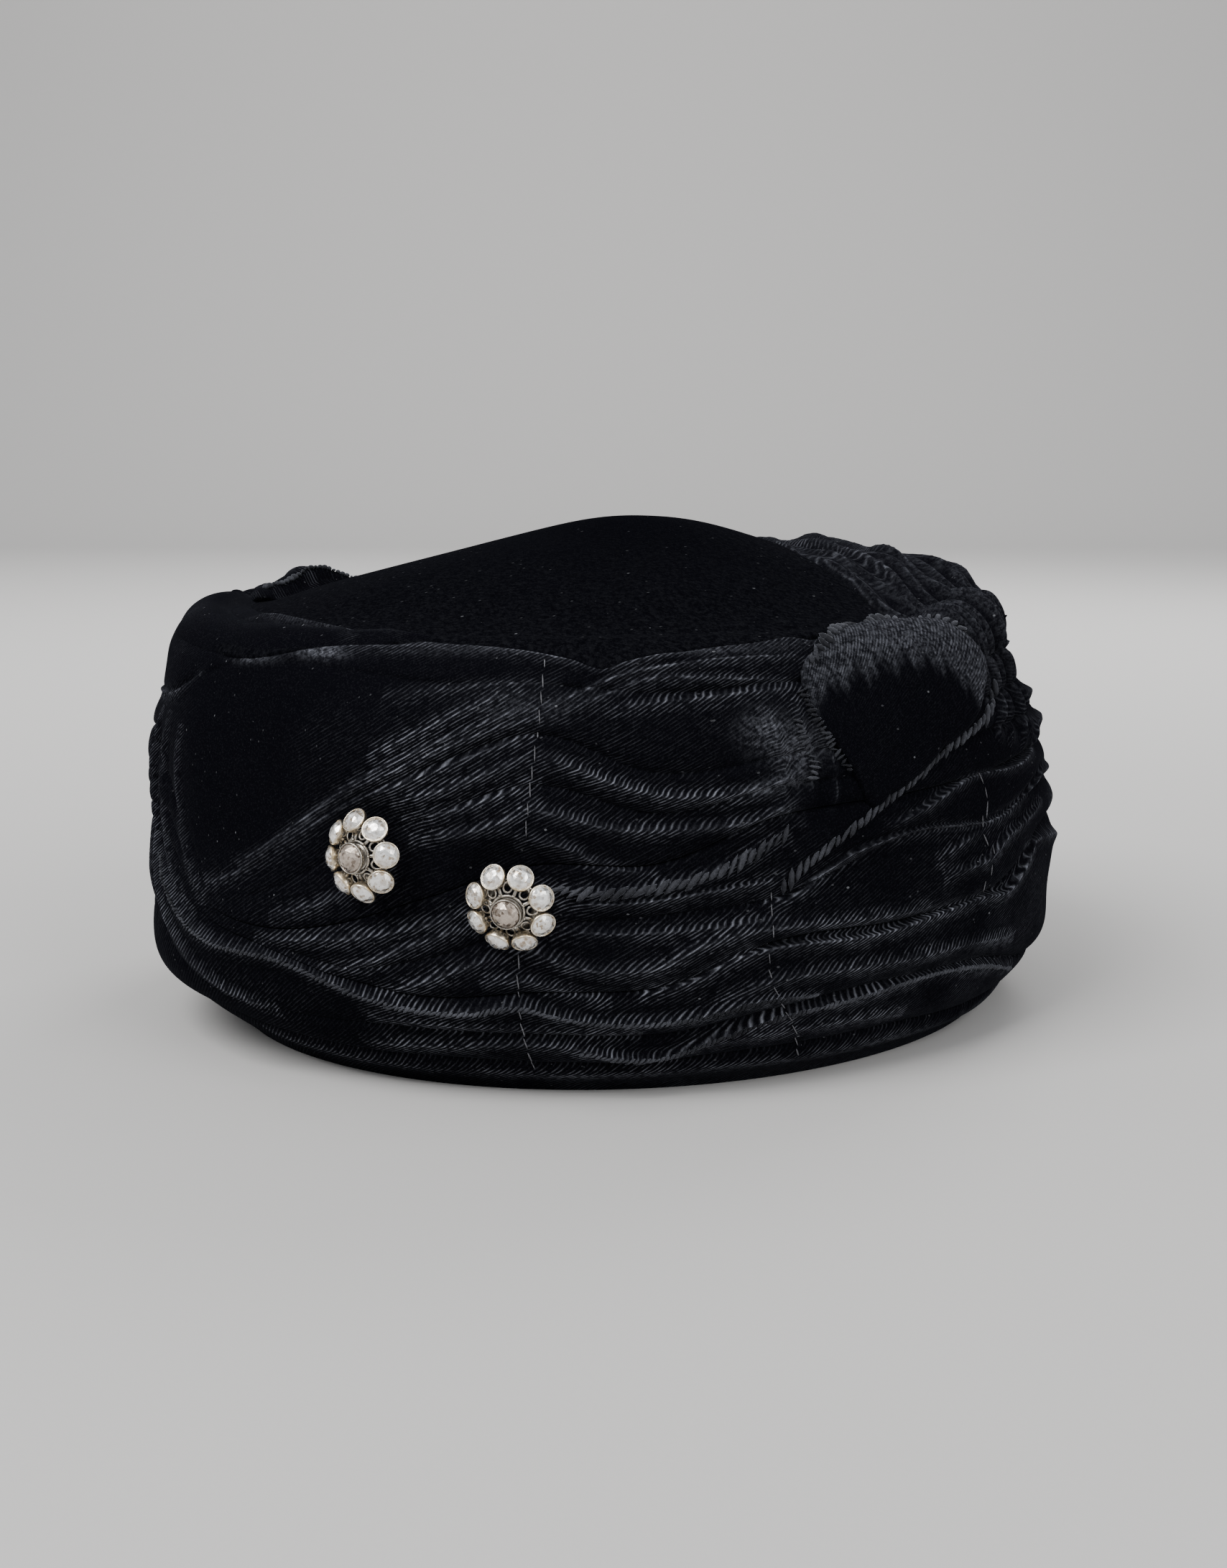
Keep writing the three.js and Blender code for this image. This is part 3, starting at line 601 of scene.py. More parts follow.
# closer columns on the left side, where the folds are finest
COLUMNS = np.concatenate([np.arange(-34, BACK_SEAM, 0.42), np.arange(BACK_SEAM, 326, 0.9)])


def cloth_coordinates(angle, along, relief):
    """Millimetres across and along the ribs."""
    share = np.clip(1 - (along - SEAM) / SEAM_SIDE, 0, 1)
    round_hat = np.radians(BACK_SEAM + (angle - BACK_SEAM) * share) * ROUND_MM
    climbed = along + RIB_BEND * relief
    across = climbed * math.cos(RIB_LEAN) - round_hat * math.sin(RIB_LEAN)
    lengthwise = climbed * math.sin(RIB_LEAN) + round_hat * math.cos(RIB_LEAN)
    return np.stack([across, lengthwise], -1)


def grid_faces(columns, rows, close_columns, close_rows):
    """Corner numbers of the faces of a grid whose points are numbered column by column."""
    i, j = np.meshgrid(np.arange(columns if close_columns else columns - 1),
                       np.arange(rows if close_rows else rows - 1), indexing="ij")
    i, j = i.ravel(), j.ravel()
    i2, j2 = (i + 1) % columns, (j + 1) % rows
    return np.stack([i * rows + j, i2 * rows + j, i2 * rows + j2, i * rows + j2], -1)


def make_piece(name, points, faces, cloth=None, **marks):
    """A smooth mesh from points in millimetres, with the cloth's coordinates and named marks."""
    mesh = bpy.data.meshes.new(name)
    mesh.from_pydata((np.asarray(points) * MM).tolist(), [], [list(map(int, face)) for face in faces])
    if cloth is not None:
        layer = mesh.uv_layers.new(name="cloth")
        corners = np.empty(len(mesh.loops), int)
        mesh.loops.foreach_get("vertex_index", corners)
        layer.uv.foreach_set("vector", np.asarray(cloth[corners], np.float32).ravel())
    for mark, values in marks.items():
        attribute = mesh.attributes.new(mark, "FLOAT", "POINT")
        attribute.data.foreach_set("value", np.asarray(values, np.float32).ravel())
    mesh.polygons.foreach_set("use_smooth", np.ones(len(mesh.polygons), bool))
    mesh.validate()
    piece = bpy.data.objects.new(name, mesh)
    bpy.context.scene.collection.objects.link(piece)
    return piece


def outward_sign(points, faces):
    """One if the faces of a closed mesh point out of it, minus one if they point in."""
    a, b, c, d = (points[faces[:, k]] for k in range(4))
    volume = np.einsum("ij,ij->i", a, np.cross(b, c)) + np.einsum("ij,ij->i", a, np.cross(c, d))
    return 1 if volume.sum() > 0 else -1

# %% [markdown]
# ## Velvet
# Silk velvet is black because its pile swallows the light that falls into it, and grey-blue where
# the pile is seen from the side. A sheen layer does part of that, and the rest is painted highlight
# in the base colour: the tops of the ribs near the crests, a line and a band along each crest, and
# patches of pile turned to the light. Fine ribs run through the cloth, so the colour and the bump
# both follow the cloth's own coordinates. Two marks steer them: rib says how clearly the ribs show,
# in their bump and their painted highlight, and nap says how strong the painted highlight of pile
# turned to the light is. Specks of lint cling to any black velvet.

# %% Node helpers
def plug(socket, value):
    """Gives a socket a value of its own, or a link from another node's output."""
    value = value.socket if isinstance(value, Wire) else value
    if isinstance(value, bpy.types.NodeSocket):
        socket.id_data.links.new(value, socket)
    elif socket.type == "RGBA":
        socket.default_value = (*value, 1)
    else:
        socket.default_value = value


def set_inputs(node, inputs):
    """Gives a node's inputs, by name or number, their values or links."""
    for name, value in inputs.items():
        plug(node.inputs[name], value)


def add_node(tree, kind, inputs=None, **settings):
    """A new node, its settings made before its inputs are filled."""
    node = tree.nodes.new(kind)
    for name, value in settings.items():
        setattr(node, name, value)
    set_inputs(node, inputs or {})
    return node


class Wire:
    """A node's output, which takes part in sums: each sign between wires becomes a Math node."""

    def __init__(self, socket):
        self.socket = socket

    def math(self, operation, *values):
        tree = self.socket.id_data
        node = add_node(tree, "ShaderNodeMath", dict(enumerate(values)), operation=operation)
        return Wire(node.outputs[0])

    def __add__(self, other):
        return self.math("ADD", self, other)

    def __mul__(self, other):
        return self.math("MULTIPLY", self, other)

    def __rsub__(self, other):
        return self.math("SUBTRACT", other, self)

    def clamped(self):
        """Keeps the last sum between zero and one."""
        self.socket.node.use_clamp = True
        return self

# %% Textures, marks and mixes
def object_place(tree):
    """Where a point lies in its piece, in metres."""
    return Wire(add_node(tree, "ShaderNodeTexCoord").outputs["Object"])


def mark(tree, name):
    """One of the marks that make_piece lays on a mesh."""
    return Wire(add_node(tree, "ShaderNodeAttribute", attribute_name=name).outputs["Fac"])


def spread(value, low, high):
    """Spreads the values between low and high over zero to one."""
    node = add_node(value.socket.id_data, "ShaderNodeMapRange",
                    {"Value": value, "From Min": low, "From Max": high})
    return Wire(node.outputs["Result"])


def noise(vector, scale, detail, roughness=0.5, counts=None):
    """A random pattern; counts gives the range of its values that is spread over zero to one."""
    node = add_node(vector.socket.id_data, "ShaderNodeTexNoise",
                    {"Vector": vector, "Scale": scale, "Detail": detail, "Roughness": roughness})
    pattern = Wire(node.outputs["Fac"])
    return spread(pattern, *counts) if counts else pattern


def scaled(vector, scale, turn=(0, 0, 0)):
    """The vector stretched along its axes, so that what is drawn on it is squeezed."""
    node = add_node(vector.socket.id_data, "ShaderNodeMapping",
                    {"Vector": vector, "Scale": scale, "Rotation": turn})
    return Wire(node.outputs["Vector"])


def cells(vector, scale):
    """A pattern of cells: the distance from each cell's middle, and two numbers of its own."""
    pattern = add_node(vector.socket.id_data, "ShaderNodeTexVoronoi", {"Vector": vector, "Scale": scale})
    own = add_node(vector.socket.id_data, "ShaderNodeSeparateColor", {"Color": pattern.outputs["Color"]})
    return Wire(pattern.outputs["Distance"]), Wire(own.outputs["Red"]), Wire(own.outputs["Green"])


def mix_colour(factor, first, second):
    """The first colour where the factor is zero, and the second where it is one."""
    node = add_node(factor.socket.id_data, "ShaderNodeMix", data_type="RGBA")
    for name, value in (("Factor", factor), ("A", first), ("B", second)):
        plug([socket for socket in node.inputs if socket.name == name and socket.enabled][0], value)
    return Wire([socket for socket in node.outputs if socket.enabled][0])


def bump(height, strength, distance, below=None):
    """A bump over another one; its distance is in metres."""
    inputs = {"Height": height, "Strength": strength, "Distance": distance}
    if below:
        inputs["Normal"] = below
    return Wire(add_node(height.socket.id_data, "ShaderNodeBump", inputs).outputs["Normal"])


def new_material(name):
    material = bpy.data.materials.new(name)
    material.use_nodes = True
    return material, material.node_tree, material.node_tree.nodes["Principled BSDF"]

# %% Numbers of the velvet
RIB_PITCH = 0.68                  # millimetres between the ribs of the cloth
RIB_WANDER = 5.0                  # how far the ribs stray from true, in radians of their wave
RIB_EDGE = 4.0                    # only the tops of the ribs are painted lit: the power of their wave
RIB_LIT = 1.15                    # how bright that painted highlight is
RUBBED = 0.2                      # how clearly ribs show outside their patches, in their bump and their painted highlight
GAP_LIT = 0.07                    # how bright the gaps along a rib's painted highlight are
PILE_BLACK = (0.0024, 0.0024, 0.0036)
# the crown's black: painted shade, darker than the drape's black for the same velvet
CROWN_SHADED_BLACK = (0.0012, 0.0012, 0.002)
# the grey-blue of pile in the light: every painted highlight of the velvet is mixed towards it
PILE_LIT = (0.185, 0.192, 0.222)
LINT = (0.42, 0.43, 0.46)
LINT_SPECKS = [                   # cells per metre, radius of a speck, share of bare cells, strength
    (330.0, 0.05, 0.72, 0.22),
    (620.0, 0.09, 0.55, 0.08),
]
LINT_DRAWN, LINT_TURN = (1.1, 0.45, 0.7), (0.4, 0.7, 0.3)
FLANK = 3.2                       # the painted highlight on the ribs fades out this far from a crest
FLANK_LIT = 0.12                  # to this share
GLOW = 1.5                        # a painted highlight band reaches this far down a crest
GLOW_LIT = 0.07                   # and is this bright
# the painted highlight line along a crest: how bright, how wide and how far it strays
CREST_LIT = 0.8
CREST_LINE = 0.5                  # half width in millimetres of the painted highlight line along a crest
CREST_STRAY = 0.6                 # and how far it strays
DASH_GAP = 0.25                   # how bright a crest's painted highlight is between two ribs
COMBED = 0.8                      # how deep the ribs cut into the painted highlight of the nap
SHEEN_TINT = (0.82, 0.86, 1.0)
PILE_NOISE = (2600.0, 2.0, 0.7)   # scale, detail and roughness of the pile's grain
STROKES = (1.3, 0.5, 1.0)         # how noise is drawn out along the ribs, for the gaps in their painted highlight
STREAKS = (2.2, 0.35, 1.0)        # and for the painted highlight of the nap

# %% Velvet material
def lint(place, size, radius, bare, strength):
    """Specks in some of the cells of a random pattern, a little drawn out, as fibres are."""
    middle, chosen, _ = cells(scaled(place, LINT_DRAWN, LINT_TURN), size)
    small = middle.math("LESS_THAN", middle, radius)
    return small * chosen.math("GREATER_THAN", chosen, bare) * strength


def rib_wave(place, cloth):
    """The ribs as a wave across the cloth: one on each rib and zero between two."""
    across = Wire(add_node(place.socket.id_data, "ShaderNodeSeparateXYZ", {"Vector": cloth}).outputs["X"])
    phase = across * (2 * math.pi / RIB_PITCH) + noise(place, 160.0, 2.0) * RIB_WANDER
    return (phase.math("SINE", phase) + 1.0) * 0.5


def fading(distance, reach):
    """One at a crest, and zero from the reach on."""
    return (1.0 - distance * (1 / reach)).clamped()


def velvet_material(name, black, grain, sheen):
    """Velvet of a black, with the pile between the ribs this bright and a sheen of this strength."""
    material, tree, shader = new_material(name)
    place = object_place(tree)
    cloth = Wire(add_node(tree, "ShaderNodeUVMap", uv_map="cloth").outputs["UV"])
    rib_mark, nap_mark, offset, share = (
        mark(tree, mark_name) for mark_name in ("rib", "nap", "crest_offset", "crest_share"))
    rib = rib_wave(place, cloth)
    pile = noise(place, *PILE_NOISE)
    clumps = noise(place, 1000.0, 3.0, 0.7, (0.42, 0.6))
    # patches of stronger and weaker painted highlight along the crests
    worn = noise(place, 45.0, 3.0, counts=(0.3, 0.7))

    patches = noise(place, 70.0, 3.0, counts=(0.35, 0.65))
    shows = rib_mark * (patches + RUBBED).clamped()
    broken = noise(scaled(cloth, STROKES), 1.0, 3.0, 0.6, (0.42, 0.6)) * (1 - GAP_LIT) + GAP_LIT
    near_crest = fading(offset, FLANK)
    flank = near_crest.math("MAXIMUM", near_crest, FLANK_LIT)
    # painted highlight on the tops of the ribs, in patches and dashes, strongest near a crest
    ribs_lit = rib.math("POWER", rib, RIB_EDGE) * (shows * broken * flank)

    stray = noise(place, 420.0, 2.0, counts=(0.3, 0.7)) * CREST_STRAY
    dashes = rib * (1 - DASH_GAP) + DASH_GAP
    # a painted highlight line along each crest, dashed by the ribs
    crest = fading(offset + stray, CREST_LINE) * (share * CREST_LIT) * (dashes * worn)
    # a broad painted highlight band down the flanks of each crest
    glow = fading(offset, GLOW) * share * (dashes * (clumps + 0.3))

    # painted highlight where the pile is turned to the light, streaked along the ribs, as the nap mark says
    streak = noise(scaled(cloth, STREAKS), 1.0, 3.0, 0.6, (0.3, 0.75))
    brushed = nap_mark * ((streak + 0.25) * (clumps * 0.9 + 0.12))
    combed = 1.0 - rib_mark * (COMBED - rib * COMBED)
    # all the painted highlights together: lit pile, crest line, crest band and rib tops
    lit = brushed * combed + crest + glow * GLOW_LIT + ribs_lit * RIB_LIT
    lit = ((lit + spread(pile, 0.5, 0.8) * grain) * (pile + 0.5)).clamped()
    colour = mix_colour(lit, black, PILE_LIT)
    for speck in LINT_SPECKS:
        colour = mix_colour(lint(place, *speck), colour, LINT)

    ribs_bump = bump(rib * shows, 0.9, 0.00025)
    set_inputs(shader, {
        "Base Color": colour, "Normal": bump(pile, 0.5, 0.00022, ribs_bump), "Roughness": 0.82,
        "Specular IOR Level": 0.0, "Sheen Weight": sheen, "Sheen Roughness": 0.28,
        "Sheen Tint": SHEEN_TINT})
    return material


VELVET = velvet_material("black_velvet", PILE_BLACK, 0.03, 0.024)
# a darker copy of the same velvet for the crown, with less grain and sheen: painted shade
SHADED_CROWN_VELVET = velvet_material("shaded_crown_black_velvet", CROWN_SHADED_BLACK, 0.015, 0.01)
print("materials:", VELVET.name, SHADED_CROWN_VELVET.name, len(VELVET.node_tree.nodes), "nodes each")

# %% [markdown]
# ## The wound strips
# Three strips go round the hat, each tucked under the next: the rim strip that rolls under to the
# head opening, the waist strip, and the top strip that runs over the shoulder to the crown. Each is
# a closed ring of cloth and foundation, with a plain inner face. Crisp folds want rows closer than
# half a millimetre, which is why the drape is three pieces.

# %% Strips
WALL = 6.0        # cloth and foundation together
INNER_ROWS = 6
STRIPS = {
    "rim_strip": {"low": None, "high": "edge", "rows": 118, "node": "lower_drape"},
    "waist_strip": {"low": "edge", "high": "fourth", "rows": 96, "node": "upper_drape"},
    "top_strip": {"low": "fourth", "high": None, "rows": 128, "node": "upper_drape"},
}
LAP = 0.12        # half the slit between two strips, at the bottom of the groove


def strip_lines(strip, angle):
    """The along values of a strip's two borders."""
    low = groove(strip["low"], angle) + LAP if strip["low"] else np.zeros(angle.shape)
    high = (groove(strip["high"], angle) if strip["high"] else crown_edge(angle)) - LAP
    return low, high

# %% Where the ribs show and where the pile is painted lit
# angle, along, half width in degrees, half height in mm, change in how clearly the ribs show, in their bump
# and their painted highlight
RIB_PATCHES = [
    (76, 70, 14, 12, 0.75),     # the fan between the two tacks
    (50, 76, 14, 9, 0.55),      # the ribbed part of the sash
    (23, 72, 11, 22, -0.7),     # the dark part of the sash
    (30, 88, 20, 6, -0.4),
    (50, 62, 10, 8, 0.4),
    (84, 71.5, 3.5, 3.5, -0.7),  # the dark folds below the pinch
    (95, 63, 6, 5.5, -0.8),
    (94, 70.5, 2.5, 3.5, -0.5),
    (-4, 62, 16, 34, 0.2),      # the gathers at the front
    (12, 28, 18, 22, -0.3),     # the dark rolls under them
    (120, 62, 16, 14, -0.2),
    (140, 98, 28, 22, -0.5),    # the stack behind the puffed panel
]
# angle, along, half width in degrees, half height in mm, how strong the painted highlight of pile turned to
# the light is
NAP_PATCHES = [
    (86.5, 78.2, 2.5, 3.8, 0.48),  # the pinch beside the puffed panel
    (90.5, 74.5, 2.4, 4, 0.5),
    (86.2, 66.6, 1.8, 1.2, 0.45),
    (89.4, 68.3, 2.0, 1.3, 0.45),
    (89, 61.8, 1.2, 1.0, 0.35),
    (21.5, 92, 3.6, 1.2, 0.5),  # the turned edge under the front peak
    (33.5, 94.5, 3.4, 1.5, 0.6),
    (56, 96, 12, 1.2, 0.12),
    (81, 96, 10, 1.2, 0.2),
    (60, 84, 5, 2.5, 0.15),
]
STACK_PATCHES = [               # the same for the stack behind the panel, where only the crests are lit
    (127, 96, 10, 14, 0.14),
    (152, 114, 30, 22, 0.12),
]
LIT_CREST = 1.3                 # about this far from a crest the stack's painted highlight has faded, leaving the pile dark
LOW_RIBS, HIGH_RIBS = 0.85, 0.35    # how clearly the ribs show low on the hat, and high on it
RIBS_CHANGE = (30, 60)          # the distances along between which the one goes over into the other


def patchwork(angle, along, patches, ground=0.0):
    """Patches laid on an even ground, between zero and one."""
    total = np.zeros(along.shape) + ground
    for *place, change in patches:
        total = total + change * spot(angle, along, place)
    return np.clip(total, 0, 1)


def rib_strength(angle, along):
    """How clearly the ribs show: most on the low rolls and in the fan, least on the smooth sash."""
    ground = LOW_RIBS - (LOW_RIBS - HIGH_RIBS) * ease(along, *RIBS_CHANGE)
    return patchwork(angle, along, RIB_PATCHES, ground)


def nap_strength(angle, along, on_crest):
    """How strong the painted highlight of pile turned to the light is, in the stack only on the crests."""
    return (patchwork(angle, along, NAP_PATCHES)
            + patchwork(angle, along, STACK_PATCHES) * on_crest)

# %% Rings of cloth
def ring_rows(strip):
    """The along values of a strip's outer and inner rows, at every column."""
    low, high = strip_lines(strip, COLUMNS)
    low, high = low[:, None], high[:, None]
    along = low + (high - low) * np.linspace(0, 1, strip["rows"])[None, :]
    inner = along[:, ::-(strip["rows"] // INNER_ROWS)][:, 1:-1]
    return along, np.concatenate([high, inner, low], axis=1)


def ring_of_cloth(name, strip):
    """A closed ring: folded cloth outside and a plain wall inside, with the marks of the velvet."""
    angle = COLUMNS[:, None]
    along, inner_along = ring_rows(strip)
    outer, relief, offset, crest_share = draped_points(np.broadcast_to(angle, along.shape), along)
    inner = inwards(np.broadcast_to(angle, inner_along.shape), inner_along, WALL)
    points = np.concatenate([outer, inner], axis=1).reshape(-1, 3)
    every_along = np.concatenate([along, inner_along], axis=1)
    faces = grid_faces(*every_along.shape, True, True)
    if outward_sign(points, faces) < 0:
        faces = faces[:, ::-1]

    def whole(outside, inside=0.0):
        return np.concatenate([outside, np.full(inner_along.shape, inside)], axis=1)

    cloth = cloth_coordinates(angle, every_along, whole(relief))
    turned = np.broadcast_to(aside(angle, 0), every_along.shape)
    visible = whole(np.ones(along.shape))
    on_crest = whole(np.exp(-((offset / LIT_CREST) ** 2)))
    piece = make_piece(name, points, faces, cloth.reshape(-1, 2),
                       rib=rib_strength(turned, every_along) * visible,
                       nap=nap_strength(turned, every_along, on_crest) * visible,
                       crest_offset=whole(offset, CREST_REACH), crest_share=whole(crest_share))
    piece.data.materials.append(VELVET)
    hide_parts(strip["node"])
    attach(piece, "root")
    return piece


strips = {name: ring_of_cloth(name, strip) for name, strip in STRIPS.items()}
for name, piece in strips.items():
    print(name, len(piece.data.polygons), "faces")

# %% [markdown]
# ## The crown
# The crown's tip is one oval of plain velvet stretched over the block's dome and sewn into the ring
# of drape. It is smooth, but for a few slack places near the seam. Its section runs from the pole
# down the outside, round the lip that hides in the ring, and back up the inside.

# %% Crown
CROWN_STEP, CROWN_ROWS, CROWN_INNER_ROWS = 0.9, 100, 10    # degrees between columns, and the rows
CROWN_WALL = 2.2
LIP_DEPTH = 4.0
LIP_SHARE, INNER_SHARE = 0.985, 0.96    # how far in the lip and the inner face lie
VALLEY_FILL, VALLEY_REACH = 1.3, 5      # the crown bridges the valley at the seam
SLACK_REACH = 10
CROWN_RIBS, CROWN_NAP = 0.04, 0.03      # hardly a rib shows, and a little painted highlight of lit pile lies towards its edge
SLACKS = [  # angle, half width in degrees, height, reach in from the seam
    (20, 10, 0.5, 16), (75, 14, 0.7, 14), (118, 9, -0.6, 18), (200, 14, 0.5, 16), (290, 16, 0.5, 20),
]
DOMES = [(-3, 12, 26, 3.8), (-13, -44, 20, -1.2)]    # x, y, half width, height


def crown_points(angle, share):
    """The dome: share is zero at the drape's edge and one at the pole."""
    edge = crown_edge(angle)
    along = edge + (SEAM + SEAM_SIDE - edge) * share
    points = form(angle, along)
    for middle, wide, height, reach in SLACKS:
        points[..., 2] += height * spot(angle, along, (middle, SEAM + reach, wide, SLACK_REACH))
    for x, y, wide, height in DOMES:
        far = np.hypot(points[..., 0] - x, points[..., 1] - y)
        points[..., 2] += height * np.exp(-((far / wide) ** 2.5))
    points[..., 2] += VALLEY_FILL * np.exp(-(((along - SEAM) / VALLEY_REACH) ** 2))
    return points


def closed_by_poles(grid, first_pole, last_pole):
    """Points and faces of a closed skin: a grid of columns between two poles."""
    columns, rows = grid.shape[:2]
    points = np.concatenate([grid.reshape(-1, 3), [first_pole, last_pole]])
    faces = grid_faces(columns, rows, True, False).tolist()
    first, last = len(points) - 2, len(points) - 1
    for i in range(columns):
        after = (i + 1) % columns
        faces.append([after * rows, i * rows, first])
        faces.append([i * rows + rows - 1, after * rows + rows - 1, last])
    return points, faces


def make_crown():
    """The tip: its outer face from the pole down, the lip in the ring, and the inner face back up."""
    angle = np.arange(0, 360, CROWN_STEP)[:, None]
    outside = np.linspace(1, 0, CROWN_ROWS)[None, 1:]
    inside = np.linspace(0, 1, CROWN_INNER_ROWS)[None, :-1]
    outer = crown_points(*np.broadcast_arrays(angle, outside))
    lip = outer[:, -1:] * [LIP_SHARE, LIP_SHARE, 1] - [0, 0, LIP_DEPTH]
    inner = crown_points(*np.broadcast_arrays(angle, inside))
    inner = (inner - [0, 0, CROWN_WALL]) * [INNER_SHARE, INNER_SHARE, 1]
    inner[:, 0, 2] = lip[:, 0, 2]
    grid = np.concatenate([outer, lip, inner], axis=1)
    pole = crown_points(np.array(0.0), np.array(1.0))
    points, faces = closed_by_poles(grid, pole, pole - [0, 0, CROWN_WALL])
    cloth = points[:, :2] @ [[math.cos(RIB_LEAN), math.sin(RIB_LEAN)],
                             [-math.sin(RIB_LEAN), math.cos(RIB_LEAN)]]
    hidden = np.zeros(grid.shape[1] - outside.shape[1])
    from_pole = np.zeros(len(points))
    from_pole[:-2] = np.tile(np.concatenate([1 - outside[0], hidden]), grid.shape[0])
    piece = make_piece("crown_velvet", points, faces, cloth,
                       rib=np.full(len(points), CROWN_RIBS), nap=CROWN_NAP * from_pole,
                       crest_offset=np.full(len(points), CREST_REACH), crest_share=np.zeros(len(points)))
    # the crown's darker copy of the velvet: painted shade
    piece.data.materials.append(SHADED_CROWN_VELVET)
    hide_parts("crown_tip")
    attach(piece, "root")
    return piece


crown = make_crown()
print("crown_velvet:", len(crown.data.polygons), "faces")

# %% [markdown]
# ## The puffed panel and the front peak
# On the left back the sash's free end is turned into a soft puff, pinched at its front. At the front
# the drape is turned over itself into a rolled peak. Both are pads: an upper and a lower skin that
# meet in a rounded edge, highest in the middle.

# %% Pads
PAD_BED = -0.6      # the underside lies this high over the form
PAD_EDGE = 0.8      # and the upper skin starts this high over the underside
PAD_FULL = 0.9      # thickness that every pad gains away from its edge
FLUSH = 0.15        # the lower edge starts this far under the drape's face
BED_STEP = 9        # rows of the upper skin for each row of the underside
END_REACH = 9.0     # a pad rises over this distance from its ends
LEAST_SETTLING = 3  # and leaves the drape's face over at least this distance from its lower edge
SWELL_SHARE = 0.7   # the share of the drape's swells that a pad has
EDGE_PUFF = 0.6     # and the share of its puff that it has at its lower and upper edges
PEAK_FOLDS = [
    ("peak crease", 0.9, 0.9, 0.7, [(4, 107.4), (8, 108.4), (12, 109), (18, 108.4), (25, 107.4),
                                    (32, 106.2), (38, 104.2), (44, 101.4)]),
    ("peak wrinkle", 0.8, 0.6, 0.4, [(28, 104.5), (33, 102.6), (37, 98.6)]),
]


def rounded(distance, reach):
    """A quarter round: nothing at the edge, one from the reach on."""
    return np.sqrt(np.clip(1 - (1 - np.clip(distance / reach, 0, 1)) ** 2, 0, 1))


def pad_surface(pad, folds, angle, share):
    """The upper skin of a pad, for a grid of angles and shares of its height."""
    low, high, puff, low_reach, high_reach = (
        smooth(pad["angle"], pad[name], angle)
        for name in ("low", "high", "puff", "low_reach", "high_reach"))
    along = low + (high - low) * share
    from_end = np.minimum(angle - pad["angle"][0], pad["angle"][-1] - angle) * PER_DEGREE
    rise = (rounded(along - low, low_reach) * rounded(high - along, high_reach)
            * rounded(from_end, END_REACH))
    swollen = EDGE_PUFF + (1 - EDGE_PUFF) * np.sin(math.pi * share)
    start = free_relief(angle, low)[0] - FLUSH
    settled = ease(along - low, 0, np.maximum(low_reach, LEAST_SETTLING))
    relief = start * (1 - settled) + (PAD_BED + PAD_EDGE) * settled + (PAD_FULL + puff * swollen) * rise
    section, push, _, offset, crest_share = small_folds(angle, along, folds, [])
    shown = np.clip(2 * rise, 0, 1)    # the folds are full where the pad is half risen
    relief = relief + section * shown + SWELL_SHARE * swells(angle, along) * rise
    points = form(angle, along + push * shown) + relief[..., None] * outwards(angle, along)
    return points, along, relief, offset, crest_share


def make_pad(name, node, pad, folds, columns, rows, rib, nap, cloth_of=cloth_coordinates):
    """A closed pad: its upper skin, an underside of fewer rows, and a cap at each end."""
    angle = np.linspace(pad["angle"][0], pad["angle"][-1], columns)[:, None]
    even = np.linspace(0, 1, rows)
    closer_at_edges = 0.5 - 0.5 * np.cos(math.pi * even)
    angle, share = np.broadcast_arrays(angle, (0.5 * even + 0.5 * closer_at_edges)[None, :])
    upper, along, relief, offset, crest_share = pad_surface(pad, folds, angle, share)
    bed_rows = list(range(rows - 1, 0, -BED_STEP)) + [0]

    def with_bed(skin, bed):
        return np.concatenate([skin, bed[:, bed_rows]], axis=1)

    points = with_bed(upper, form(angle, along) + PAD_BED * outwards(angle, along)).reshape(-1, 3)
    total = rows + len(bed_rows)
    faces = grid_faces(columns, total, False, True)
    turn = outward_sign(points, faces)
    caps = [list(range(total)), list(range(columns * total - 1, (columns - 1) * total - 1, -1))]
    faces = [list(face)[::turn] for face in faces.tolist() + caps]
    cloth = cloth_of(angle, along, relief)
    marks = {"rib": rib(angle, along, share), "nap": nap(angle, along, share),
             "crest_offset": offset, "crest_share": crest_share}
    marks = {label: with_bed(values, 0 * values) for label, values in marks.items()}
    piece = make_piece(name, points, faces, with_bed(cloth, cloth).reshape(-1, 2), **marks)
    piece.data.materials.append(VELVET)
    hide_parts(node)
    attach(piece, "root")
    return piece

# %% The puffed panel and the peak
PANEL_HEART = (84.0, 52.0)      # the ribs of the puff fan out from below the pinch
PANEL_REACH = 58.0              # their pitch is true this far from there
BAND_EDGE = {                   # the lower edge of the puff's band of bent-over pile and painted highlight
    "angle": [90, 94, 100, 108, 114, 118, 122],
    "along": [80, 86, 89.5, 91, 88, 82, 74],
}
BAND_FADE = (-3.5, 3.0)         # the band begins and is full this far above its edge
BAND_START = (90.5, 93.5)       # and begins and is full at these angles
# how strong the band's painted highlight is
BAND_NAP = 0.42
PANEL_RIBS, BAND_RIBS = 0.18, 0.55
PEAK_RIBS, PEAK_NAP = 0.1, 0.08
PEAK_LIT_SHARES, PEAK_START = (0.75, 0.95), (6, 12)    # shares of its height, and angles, over which the painted highlight on its turned edge comes in


def panel_cloth(angle, along, relief):
    """The cloth's coordinates on the puff, where the ribs fan out from the pinch."""
    x = np.radians(angle - PANEL_HEART[0]) * ROUND_MM
    y = along - PANEL_HEART[1]
    return np.stack([np.arctan2(y, x) * PANEL_REACH, np.hypot(x, y) + relief], -1)


